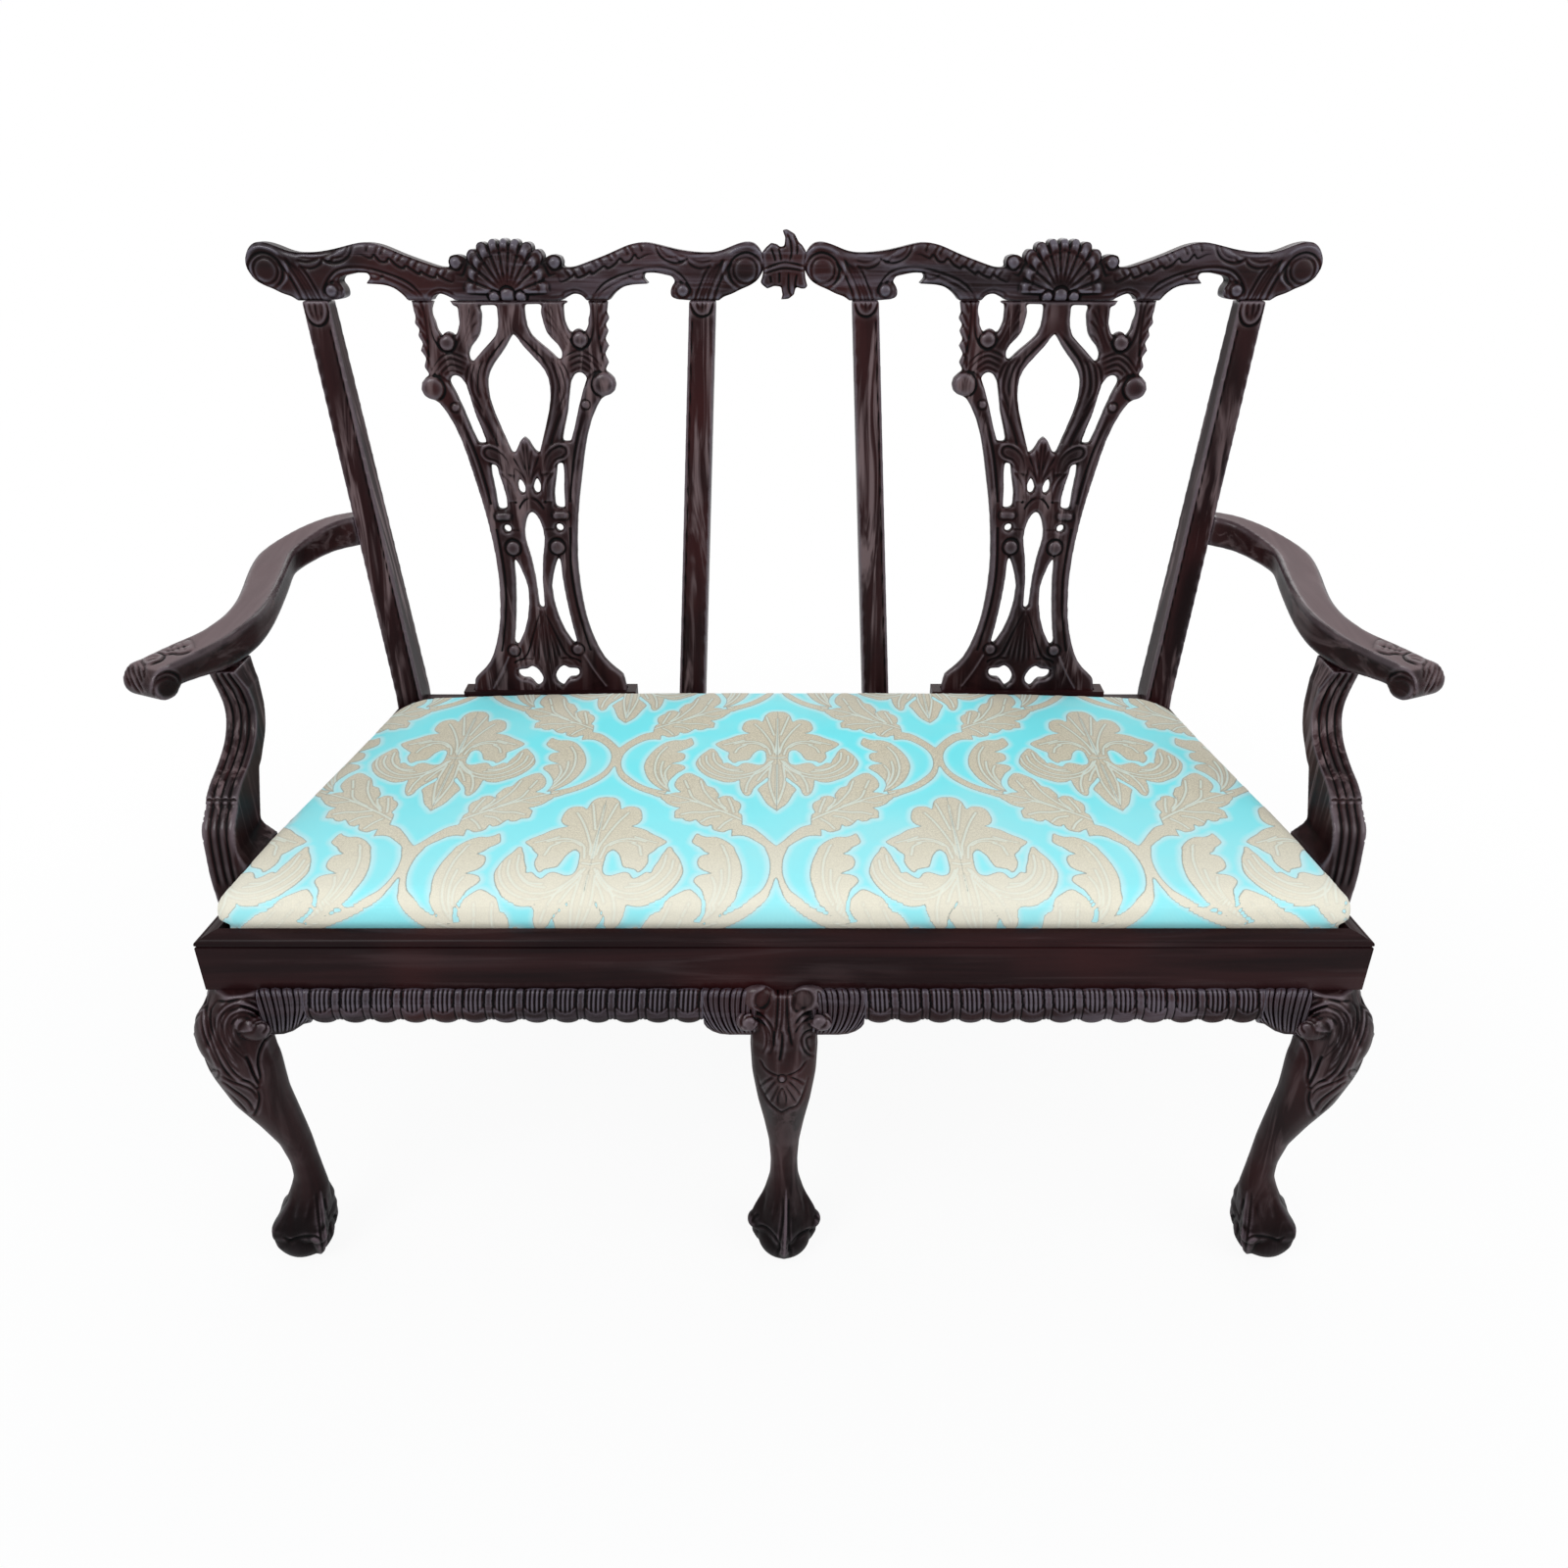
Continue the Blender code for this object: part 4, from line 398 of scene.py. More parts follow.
def values_of(items, key, width=3, kind=float):
    values = np.empty(len(items) * width, dtype=kind)
    items.foreach_get(key, values)
    return values.reshape(-1, width)


def points_of(mesh):
    return values_of(mesh.vertices, "co")


def normals_of(mesh):
    return values_of(mesh.vertex_normals, "vector")


def edges_of(mesh):
    return values_of(mesh.edges, "vertices", 2, np.int64)


def put_points(mesh, points):
    mesh.vertices.foreach_set("co", points.ravel())
    mesh.update()


def store(mesh, name, values):
    layer = mesh.attributes.new(name, 'FLOAT', 'POINT')
    layer.data.foreach_set("value", np.asarray(values, dtype=np.float32))


def open_edges(work):
    return [edge for edge in work.edges if edge.is_boundary]


def unit(values):
    """Values held between 0 and 1."""
    return np.clip(values, 0, 1)


def dome(away, width=1, rise=1):
    return rise * np.sqrt(unit(1 - (away / width) ** 2))


def valley(away, width=1):
    return np.exp(-(away / width) ** 2)


def rolled(radius, away):
    """How far an edge of that radius has turned over, at a distance inside it."""
    inner = np.clip(radius - away, 0, radius)
    return radius - np.sqrt(radius ** 2 - inner ** 2)


def relaxed(points, ends, times, share=0.5):
    """Each point moved towards the middle of its neighbours, several times."""
    count = np.bincount(ends.ravel(), minlength=len(points))[:, None]
    for _ in range(times):
        total = np.zeros_like(points)
        for axis in range(points.shape[1]):
            total[:, axis] = (np.bincount(ends[:, 0], points[ends[:, 1], axis], len(points))
                              + np.bincount(ends[:, 1], points[ends[:, 0], axis], len(points)))
        points = points + share * (total / np.maximum(count, 1) - points)
    return points


def soften(mesh, times, share=0.3):
    put_points(mesh, relaxed(points_of(mesh), edges_of(mesh), times, share))


def evened(mesh, high, low=0.085, times=50, kept=0.0012):
    """Facets between two heights smoothed away, and the thickness that this takes given back."""
    points, ends = points_of(mesh), edges_of(mesh)
    share = unit(np.minimum(points[:, 2] - low, high - points[:, 2]) / 0.012)[:, None]
    smooth = relaxed(points, ends, times) + normals_of(mesh) * kept
    put_points(mesh, points + (smooth - points) * share)


def baked(holder):
    """The mesh that a holder's modifiers give; the holder goes."""
    plain = holder.data
    made = bpy.data.meshes.new_from_object(holder.evaluated_get(bpy.context.evaluated_depsgraph_get()))
    bpy.data.objects.remove(holder)
    bpy.data.meshes.remove(plain)
    return made


def mark_hollows(mesh, reach=0.0011, kept=0.7):
    """Marked positive where it is hollow and negative on ridges, with fewer faces where it is flat."""
    points, ends, normals = points_of(mesh), edges_of(mesh), normals_of(mesh)
    near = ((relaxed(points, ends, 3) - points) * normals).sum(axis=1)
    wide = ((relaxed(points, ends, 14) - points) * normals).sum(axis=1)
    values = near / (reach * 0.35) * 0.5 + wide / reach * 0.6
    store(mesh, "hollow", np.clip(relaxed(values[:, None], ends, 2)[:, 0], -1, 1))
    holder = placed("thinned", mesh)
    holder.modifiers.new("thinned", 'DECIMATE').ratio = kept
    return baked(holder)


def remeshed(name, extras=(), voxel=0.0015, ease=4, curved=False, cut=None):
    """A node's copy and extra solids under one fine skin; curved rounds shallow angles off."""
    work = node_copy(name)
    for extra in extras:
        work.from_mesh(extra)
        bpy.data.meshes.remove(extra)
    if curved:
        bmesh.ops.triangulate(work, faces=[face for face in work.faces if len(face.verts) > 4])
        crease = work.edges.layers.float.new("crease_edge")
        for edge in work.edges:
            edge[crease] = 1.0 if edge.calc_face_angle(0) > math.radians(38) else 0.0
    holder = placed(name + "_skin", written(work, name))
    if curved:
        holder.modifiers.new("curve", 'SUBSURF').levels = 3
    if cut:
        opening = holder.modifiers.new("opening", 'BOOLEAN')
        opening.object, opening.solver = cut, 'EXACT'
    skin = holder.modifiers.new("skin", 'REMESH')
    skin.mode, skin.voxel_size = 'VOXEL', voxel
    fine = baked(holder)
    soften(fine, ease, 0.5)
    return fine


def mirrored(mesh, mirror=Matrix.Diagonal((-1, 1, 1, 1))):
    work = opened(mesh)
    bmesh.ops.transform(work, matrix=mirror, verts=work.verts)
    bmesh.ops.reverse_faces(work, faces=work.faces)
    return written(work, mesh.name)


def add_piece(name, mesh, material, nodes, body="frame"):
    piece = placed(name, mesh)
    mesh.materials.clear()
    mesh.materials.append(material)
    mesh.shade_smooth()
    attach(piece, body)
    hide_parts(*nodes)
    return piece


def add_pair(name, mesh, material, drawn="right", node=None):
    """The piece of the side it was made on, and its mirrored twin."""
    twin = mirrored(mesh)
    for side, made in ((drawn, mesh), ("left" if drawn == "right" else "right", twin)):
        add_piece(f"carved_{side}_{name}", made, material, [(node or "{}_" + name).format(side)])


# Carving marks, one to a line: kind, width, height, then points, in millimetres on a drawing of the face.
# A line without a kind repeats the last one's, and an indented line goes on with the line before it.

def path_of(text, steps=5):
    """Points on a smooth line through the marked ones."""
    marks = np.array([[float(n) for n in pair.split(",")] for pair in text.split()])
    if len(marks) < 3:
        return marks
    padded = np.vstack([2 * marks[0] - marks[1], marks, 2 * marks[-1] - marks[-2]])
    line = []
    for a, b, c, d in zip(padded, padded[1:], padded[2:], padded[3:]):
        for k in range(steps):
            t = k / steps
            line.append(0.5 * (2 * b + (c - a) * t + (2 * a - 5 * b + 4 * c - d) * t ** 2
                               + (3 * b - a - 3 * c + d) * t ** 3))
    return np.array([*line, marks[-1]])


def distance_to(path, s, v):
    """Distance to a line of points, and the share of the way along it."""
    best, share = np.full(len(s), 1e9), np.zeros(len(s))
    for i, (a, b) in enumerate(zip(path, path[1:])):
        along = b - a
        t = unit(((s - a[0]) * along[0] + (v - a[1]) * along[1]) / max(along @ along, 1e-9))
        away = np.hypot(s - a[0] - t * along[0], v - a[1] - t * along[1])
        closer = away < best
        best[closer], share[closer] = away[closer], ((i + t) / (len(path) - 1))[closer]
    return best, share


def inside_of(path, s, v):
    """Signed distance to a closed outline, positive inside."""
    loop = np.vstack([path, path[:1]])
    away, _ = distance_to(loop, s, v)
    within = np.zeros(len(s), dtype=bool)
    for a, b in zip(loop, loop[1:]):
        if a[1] != b[1]:
            crosses = (a[1] > v) != (b[1] > v)
            within ^= crosses & (s < a[0] + (v - a[1]) * (b[0] - a[0]) / (b[1] - a[1]))
    return np.where(within, away, -away)


def carved_height(marks, s, v):
    """How far the carving raises or sinks the face at each point, in millimetres."""
    height = np.zeros(len(s))
    for line in marks.strip().replace("\n    ", " ").split("\n"):
        if line[0].isalpha():
            kind, width, rise, line = line.split(maxsplit=3)
            width, rise = float(width), float(rise)
        path = path_of(line)
        reach = 3 * width
        near = ((s > path[:, 0].min() - reach) & (s < path[:, 0].max() + reach)
                & (v > path[:, 1].min() - reach) & (v < path[:, 1].max() + reach))
        if not near.any():
            continue
        if kind == "line":
            away, share = distance_to(path, s[near], v[near])
            taper = unit(np.minimum(share, 1 - share) * 6) ** 0.5
            height[near] += rise * taper * valley(away, width)
        elif kind == "bead":
            away, _ = distance_to(path, s[near], v[near])
            height[near] = np.maximum(height[near], dome(away, width, rise))
        elif kind == "dot":
            away = np.hypot(s[near] - path[0, 0], v[near] - path[0, 1])
            rim = -1.1 * valley(away - width - 0.6, 0.9)
            height[near] = np.where(away < width, dome(away, width, rise), height[near]) + rim
        elif kind == "pad":
            height[near] += rise * unit(inside_of(path, s[near], v[near]) / 1.6 + 0.5)
    return height


def edge_distance(node, place, s, v):
    """Distance to the outline of a flat node's front face, in millimetres."""
    work = node_copy(node)
    front = place.to_3x3() @ Vector((0, -1, 0))
    level = max(vertex.co.dot(front) for vertex in work.verts) - 0.0015
    faces = {face for face in work.faces
             if face.normal.dot(front) > 0.99 and face.calc_center_median().dot(front) > level}
    best = np.full(len(s), 1e9)
    back = place.inverted()
    for edge in work.edges:
        if len([face for face in edge.link_faces if face in faces]) == 1:
            a, b = (back @ vertex.co * 1000 for vertex in edge.verts)
            best = np.minimum(best, distance_to(np.array([[a.x, a.z], [b.x, b.z]]), s, v)[0])
    work.free()
    return best


def on_drawing(points, place):
    return (points - np.array(place.translation)) @ np.array(place.to_3x3()) * 1000


def off_drawing(local, place):
    return local / 1000 @ np.array(place.to_3x3()).T + np.array(place.translation)


def carve(mesh, place, height_of, rounding=0.0, edge_from=None, depth=3.0):
    """Raise the face that looks along the drawing's front, and round it over at its outline."""
    points, turn = points_of(mesh), np.array(place.to_3x3())
    facing = unit((-(normals_of(mesh) @ turn)[:, 1] - 0.15) / 0.5)
    s, _, v = on_drawing(points, place).T
    height = np.zeros(len(s))
    front = facing > 0
    height[front] = height_of(s[front], v[front])
    if edge_from:
        away = np.full(len(s), 1e9)
        away[front] = edge_distance(edge_from, place, s[front], v[front])
        share = unit(1 - away / rounding)
        height -= depth * (1 - dome(share))
    put_points(mesh, points + (height * facing)[:, None] / 1000 * (turn @ np.array([0, -1, 0])))


def seen_height(points, normals, marks, shift):
    """The carving's height at each point, from marks drawn over the camera's picture."""
    away = points - np.array(camera.location)
    ahead = away[:, 1] * math.sin(TILT) - away[:, 2] * math.cos(TILT)
    up = away[:, 1] * math.cos(TILT) + away[:, 2] * math.sin(TILT)
    s, v = MIDDLE + FOCAL * away[:, 0] / ahead, MIDDLE - FOCAL * up / ahead
    sight = away / np.linalg.norm(away, axis=1)[:, None]
    facing = unit(-(sight * normals).sum(axis=1) / 0.35 - 0.15)
    height = np.zeros(len(s))
    front = facing > 0
    height[front] = carved_height(marks, s[front] - shift, v[front])
    return height * facing


def carve_as_seen(mesh, marks, shift=0.0, corner=False):
    """Raise or sink the surface along its own direction; a corner's knee is alike on both its sides."""
    points, normals = points_of(mesh), normals_of(mesh)
    height = seen_height(points, normals, marks, shift)
    if corner:
        beyond = (points[:, 0] + RAIL_HALF < points[:, 1] - FASCIA_Y) & (points[:, 2] > 0.25)
        turned = points[:, [1, 0, 2]] + np.array([-RAIL_HALF - FASCIA_Y, RAIL_HALF + FASCIA_Y, 0])
        height = np.where(beyond, seen_height(turned, normals[:, [1, 0, 2]], marks, shift), height)
    put_points(mesh, points + normals * height[:, None] / 1000)


def add_carved_pair(name, mesh, material, ease=1):
    soften(mesh, ease)
    add_pair(name, mark_hollows(mesh), material)


# Splats

SPLAT_MARKS = """
line 1.5 -1.5 0,467 10,457 20,446 31,434 38,421 41,404 39,385 33,362 26,342 20,322
line 1.3 -1.3 37,434 43,426 47,414 49,400 47,388
43,434 51,425 55,412 56,398 52,386 44,371
49,433 57,424 61,413 62,403 58,390
57,387 50,372 42,355 35,338 32,330
line 1.1 -1.0 60,380 54,364 48,347 45,338
line 1.1 -0.9 51,382 44,366 37,350 30,333
line 1.3 -1.3 97,503 97,480 95,462 89,448 80,443 73,446 69,456
108,512 104,500 101,482 101,462 102,446 105,428 108,418
line 1.2 -1.1 107,437 103,431 102,420
109,453 105,447 102,436
111,469 106,463 102,452
113,484 108,477 103,466
113,497 108,492 104,482
line 1.1 -1.0 38,478 46,471 52,462 58,450 62,442
40,490 46,481 53,468 60,454 66,443
41,463 48,457 54,449 60,440
57,494 58,478 62,462 69,449
line 1.0 -0.9 47,494 50,482 56,470
line 1.2 -1.2 57,433 66,438 77,441 88,437 97,428 104,418
60,428 68,432 78,435 88,430 96,422 102,414
62,422 70,426 78,428 86,423 94,415
line 1.1 -1.1 64,416 72,420 79,421 87,416
dot 9.5 3.2 79,453
dot 14.0 4.0 103,401
line 1.3 -1.2 80,398 84,408 92,415 101,418
dot 5.2 1.0 79,378
line 1.5 -1.5 76,368 70,352 64,333 59,314 55,294 51,270 48,245 46,220 44,195 43,170 44,148 46,128 49,108 53,88
    58,66 64,46 71,26
line 1.2 0.7 79,364 73,349 67,331 62,312 58,292 54,269 51,244 49,219 47,195 46,170 47,148 49,128 52,108
pad 1 1.1 17,296 20,312 27,325 36,332 47,334 54,329 55,321 50,314 42,311 34,306 30,298
line 1.2 -1.4 20,292 21,306 25,317 33,325 43,329 49,327 50,321 45,316 37,313 31,306 28,297
pad 1 1.0 15,262 17,280 23,293 33,302 38,300 33,290 29,277 28,262
line 1.1 -1.2 19,262 20,278 25,289 33,298
16,304 17,290 16,278 18,262 22,250
line 1.5 -1.5 2.5,336 2,318 1.5,300 1,284
line 1.2 -1.2 17,320 12,309 7,298 3,286
8,326 5,313 3,300
15,305 10,298 5,290 2,282
line 1.5 -1.5 31,234 26,238 21,245 15,254 8,263 0,267
line 1.3 -1.4 42,238 32,237 26,243 21,253 18,263
bead 5.2 2.6 31,244 41,244
line 1.0 -0.9 14,226 28,226
dot 9.3 2.6 28,203
line 1.2 -1.2 18,206 21,212 28,215 34,213 38,206
line 1.4 -1.5 1,121 7,107 13,91 19,75 25,61 31,55 40,51 47,45 51,38
line 1.3 -1.2 1,114 2,95 3,72 3,46
3,110 6,90 9,70 11,50
5,104 11,85 15,68 18,53
dot 7.5 2.2 42,66
line 1.2 -1.1 17,53 27,54 36,49 41,42
bead 2.0 1.2 50,58 58,42 66,28 75,14
line 1.1 -1.0 14,36 24,24 36,27 44,36
"""


def ovals():
    """The two openings that run up from each splat into its crest."""
    work = bmesh.new()
    size = Matrix.Diagonal((0.0138, 0.2, 0.0170, 1))
    for side in (-1, 1):
        place = BACK @ Matrix.Translation((side * 0.0795, 0, 0.4825)) @ size
        bmesh.ops.create_cone(work, cap_ends=True, segments=40, radius1=1, radius2=1, depth=1,
                              matrix=place @ Matrix.Rotation(math.pi / 2, 4, 'X'))
    return placed("ovals", written(work, "ovals"))


cutter = ovals()
skin = remeshed("right_splat", cut=cutter)
carve(skin, BACK, lambda s, v: carved_height(SPLAT_MARKS, np.abs(s), v / UP_SHARE),
      3.4, "right_splat", 2.4)
add_carved_pair("splat", skin, UPRIGHT)


# Crests

SHELL_FOOT = 505

CREST_MARKS = """
line 1.2 -1.3 12,502.5 58,503 66,508 78,511 88,508 95,500
line 1.4 -1.5 96,497 103,508 113,518 127,525 142,530 160,534.5 178,535.5 195,532 206,523 213,511 214,501
line 1.1 -1.1 101,499 109,508 120,515 135,522 152,528 172,531 192,528 203,519 209,509
line 1.2 -1.6 60,529 62,520 68,521 76,525 80,528 83,524 92,527 98,531 100,528 108,533 115,537 118,534 126,538
    133,545 137,541 144,542 150,549 154,545 164,549 173,550
line 1.3 -1.2 68,533 74,525
76,535 80,529
86,537 92,528
100,543 106,534
108,546 113,538
117,551 124,541
123,554 129,545
138,558 143,548
144,559 149,550
156,561 159,551
line 1.5 -1.6 174,562 176,553 181,546 190,541 200,540 208,544
line 1.2 -1.2 178,562 181,553 188,547 197,545
line 1.2 -1.3 196,547 203,541 211,545
209,546 214,538 225,534 239,537
line 1.2 -1.1 184,560 194,554 210,550 232,551 248,553
192,553 206,547 222,545 238,546
214,544 228,541 240,543
line 1.6 -1.7 273,512 263,518 258,528 260,540 268,548 279,551 290,547 297,537 296,526 289,520 281,520
dot 13.5 1.4 277,532
line 1.3 1.0 268,511 255,521 252,533 256,546 268,555 283,557 297,550 304,537
line 1.5 -1.5 238,537 231,529 224,515 218,500 217,488
line 1.4 -1.4 246,541 236,528 228,512 222,497 221,484
253,546 243,533 234,516 227,500 225,485
260,550 250,538 240,520 233,503 230,487
line 1.3 -1.3 263,541 254,531 246,516 240,500 235,486
dot 7.0 2.4 204,510
line 1.2 -1.2 194,503 193,512 198,519 206,520
dot 7.0 2.4 57,540
line 1.3 -1.3 47,545 46,536 50,529 58,528
line 1.1 -1.0 141,527 148,523 157,522
"""


def shell_place(s, v):
    """Share of the way to the shell's edge, place within a flute from 0 to 1, and turn from 0 to 1."""
    across, up = s / 47, np.maximum(v - SHELL_FOOT, 0) / 61
    turn = np.arctan2(across, up) / math.pi + 0.5
    return np.hypot(across, up), turn * 11 % 1, turn


def shell_height(s, v):
    """Ribbed shell over the crest's middle, each rib ending in a lip that curls forwards."""
    reach, phase, turn = shell_place(s, v)
    rib = dome(2 * phase - 1)
    end = 0.80 - 0.05 * (2 * phase - 1) ** 2
    ribs = 2.6 * rib * unit(reach * 2.4) + 2.0 * valley(reach - 0.45, 0.3)
    line = -0.7 * valley(reach - end, 0.025)
    lip = 1.1 * valley(reach - end - 0.10, 0.08) * (0.5 + 0.5 * rib)
    fine = -0.7 * valley(phase - 0.5, 0.10) * unit(reach * 2 - 0.5) * (reach < end)
    lip *= np.clip(np.minimum(turn, 1 - turn) * 9, 0.2, 1)
    return unit((1.06 - reach) * 9) * (0.6 + ribs + line + lip + fine)


def scallop(mesh, place):
    """The shell's edge drawn in between its ribs."""
    local = on_drawing(points_of(mesh), place)
    s, v = local[:, 0], local[:, 2] / UP_SHARE
    reach, phase, _ = shell_place(s, v)
    pull = unit((reach - 0.72) / 0.2) * (v > 512) * (reach < 1.25) * 0.105 * np.abs(2 * phase - 1) ** 2.5
    local[:, 0] -= s * pull
    local[:, 2] -= (v - SHELL_FOOT) * pull
    put_points(mesh, off_drawing(local, place))


def crest_height(s, v):
    ear = -226
    s, v = np.where(s < ear, ear + (s - ear) / 0.93, s), v / UP_SHARE
    height = carved_height(CREST_MARKS, np.abs(s), v)
    shell = shell_height(s, v)
    height = np.where((shell > 0) & (v > 508), shell, height)
    for middle, top, width in ((0, 505, 8.8), (15.5, 503.5, 6.6)):
        away = np.hypot(np.abs(s) - middle, v - top) / width
        height = np.where(away < 1, dome(away, rise=3.6) + 1.0, height)
        height -= 1.6 * valley((away - 1.1) * width)
    return height


def crest_strip():
    """The straight lower edge between a crest's two openings."""
    work = bmesh.new()
    bmesh.ops.create_cube(work, size=1, matrix=CREST @ Matrix.Translation((0, 0.0112, 0.4970))
                          @ Matrix.Diagonal((0.1270, 0.0246, 0.0054, 1)))
    return written(work, "strip")


def draw_in_ears(mesh, most=0.0040, start=0.090, width=0.045):
    """The crest's inner ear moved towards the leaf between the crests."""
    points = points_of(mesh)
    points[:, 0] -= most * unit((start - points[:, 0]) / width)
    put_points(mesh, points)


skin = remeshed("right_crest_rail", [crest_strip()], voxel=0.0014, curved=True, cut=cutter)
bpy.data.objects.remove(cutter)
carve(skin, CREST, crest_height, 7.0, "right_crest_rail", 3.6)
scallop(skin, CREST)
draw_in_ears(skin)
add_carved_pair("crest_rail", skin, LENGTHWISE)


# Leaf between the crests

ORNAMENT_MARKS = """
line 1.3 -1.3 -22,533 -10,538 0,540.5 12,539 22,536
line 1.2 -1.2 -22,528 -10,532 0,534 12,533 22,531
-14,556 -11,548 -9,541
-6,556 -4,548 -3,542
3,572 7,562 8,550 6,542
10,570 14,560 14,548
-15,526 -14,518
-5,530 -5,518
5,530 5,512 8,504
14,528 12,516 14,508
"""
ornament = "centre_crest_ornament"
skin = remeshed(ornament, voxel=0.0010)
carve(skin, CENTRE_BACK, lambda s, v: carved_height(ORNAMENT_MARKS, s, v / UP_SHARE), 4.5, ornament)
put_points(skin, points_of(skin) * np.array([1.07, 1, 1]))
add_piece("carved_" + ornament, mark_hollows(skin, 0.0008), LENGTHWISE, [ornament])


# Stiles and posts, drawn from a stile's middle line and the seat

STILE_MARKS = """
pad 1 1.2 -11,500 -12,486 -7,477 0,473 8,476 12,485 11,500
line 1.0 -1.5 -13,498 -13,485 -8,475 0,471 9,474 13,484 13,498
line 0.9 -1.1 -7,497 -6,488 -3,479
0,497 1,488 1,478
7,497 7,488 4,480
"""


def stile_height(s, v):
    """A quirked bead along the splat's side of each stile, under a leaf drop."""
    across, half = np.abs(s) - 188.2 - 0.0765 * v, 17 - 0.003 * v
    plain = unit((469 - v) / 4)
    bead = (-1.3 * valley(across + half - 4.6, 0.8) + 0.6 * valley(across + half - 2.4, 1.3)
            - 0.5 * valley(across - half + 3.0, 0.8))
    return bead * plain + carved_height(STILE_MARKS, across, v)


for name in ("inner_stile", "back_post"):
    skin = remeshed("right_" + name, voxel=0.0016, ease=3)
    carve(skin, BACK, stile_height)
    add_carved_pair(name, skin, UPRIGHT, 0)


# Arms, with leaves on the hands and a volute inside each, drawn on the left one

ARM_MARKS = """
pad 1 1.0 161.9,665.6 166.6,659.4 174.4,660.6 181.2,656.2 192.5,652.5 195.6,656.2 196.9,662.5 190,665.6
    182.2,666.9 175.9,666.2 168.1,667.5
line 1.0 -1.2 161.2,666.2 165,660 170.6,658.8 175,661.2 179.1,656.2 185.3,655.6 192.5,651.9 195.6,654.4
196.9,663.1 190,666.2 182.2,667.5 175.9,666.9 168.8,668.1
line 0.9 -1.0 168.8,660.6 173.1,665.6
174.4,661.2 178.8,666.2
179.4,658.1 184.4,665.6
185.6,656.2 190,664.4
161.9,664.4 174.4,663.8 185.3,660.6 195,658.1
pad 1 1.1 144.7,672.8 150.9,667.5 158.8,666.2 166.6,668.8 165,672.8 158.8,675.6 151.9,678.1 146.2,676.9
line 1.0 -1.3 143.8,673.1 150,667.5 158.8,665.6 167.5,668.8 165.6,673.1 158.8,676.2 151.2,678.8
line 0.9 -1.0 147.8,673.1 155.6,670 164.4,670
148.8,675.6 155.6,673.1 161.9,671.9
line 1.0 -1.2 136.9,671.2 141.2,669.4 146.2,668.1 151.9,665.6
line 1.1 -1.3 131.2,677.5 131.2,685.3 133.8,693.8 138.1,701.9 143.8,708.1
134.4,675 135.6,683.8 138.8,691.9 142.5,700 146.2,706.2
138.1,672.5 140.6,680.6 142.5,688.8 145,696.2
line 1.0 -1.2 142.5,672.5 146.2,678.8 146.9,686.2 147.5,691.9
127.5,677.5 127.5,685.3 130,693.8 133.8,700.6
line 1.2 -1.6 184.4,696.2 181.9,690 175,686.2 167.5,686.2 160.6,690.6 156.9,698.1 156.2,706.2 158.8,713.8
line 1.0 -1.2 182.2,704.4 179.1,712.5 171.9,715.6 165,714.4 160,710 158.1,703.1 160.6,696.2 166.2,691.9
    173.1,691.2 179.4,695
"""
skin = remeshed("left_arm", voxel=0.0016, ease=5, curved=True)
carve_as_seen(skin, ARM_MARKS)
soften(skin, 1)
skin = mark_hollows(skin)
# 'top' marks the upward-facing faces, which the arm finish paints lighter as a painted highlight.
store(skin, "top", unit((normals_of(skin)[:, 2] - 0.90) / 0.07))
add_pair("arm", skin, ARM_WOOD, "left")


# Arm supports

def reeded(mesh):
    """Four reeds down the front of an arm support, cut across at its notch; its top reaches the arm."""
    points, normals = points_of(mesh), normals_of(mesh)
    points[:, 2] += 0.021 * valley(points[:, 2] - 0.525, 0.045)
    across = (points[:, 0] - RAIL_HALF + 0.0055) / 0.034
    facing = unit((-normals[:, 1] - 0.2) / 0.3) * (np.abs(normals[:, 0]) < 0.75)
    reed = np.abs(np.sin(across * 4 * math.pi))
    depth = -1.9 * (1 - reed) ** 2.0 * unit((points[:, 2] - 0.452) / 0.01)
    depth = np.where((across > 0.04) & (across < 0.96), depth, 0)
    notch = -2.2 * valley(points[:, 2] - 0.5425 - 0.0012 * reed, 0.0013)
    swell = 2.4 * valley(points[:, 2] - 0.5230, 0.018)
    points = points + normals * ((np.minimum(depth, notch) + swell) * facing)[:, None] / 1000
    top = points[:, 2].max()
    points[:, 2] += unit((points[:, 2] - top + 0.004) / 0.003) * 0.013
    points[:, 0] += unit((points[:, 2] - top + 0.040) / 0.045) * unit((0.9 - across) / 0.9) * 0.011
    put_points(mesh, points)


skin = remeshed("right_arm_support", voxel=0.0014, curved=True)
reeded(skin)
add_carved_pair("arm_support", skin, UPRIGHT)


# Claw-and-ball legs, drawn on the left leg and on the centre leg

FOOT_Y = FASCIA_Y + 0.0325
CORNER_FOOT_X = -RAIL_HALF + 0.020


def ball(middle, size):
    work = bmesh.new()
    bmesh.ops.create_icosphere(work, subdivisions=4, radius=1)
    place = Matrix.Translation(middle) @ Matrix.Diagonal((*size, 1))
    bmesh.ops.transform(work, matrix=place, verts=work.verts)
    return written(work, "lump")


def lump(px, py, back, size):
    """A rounded lump of the given half sizes where the picture shows it, at a depth behind the fascia."""
    ahead, up = Vector((0, math.sin(TILT), -math.cos(TILT))), Vector((0, math.cos(TILT), math.sin(TILT)))
    sight = ahead + Vector((1, 0, 0)) * ((px - MIDDLE) / FOCAL) - up * ((py - MIDDLE) / FOCAL)
    return ball(camera.location + sight * ((FASCIA_Y + back - camera.location.y) / sight.y), size)


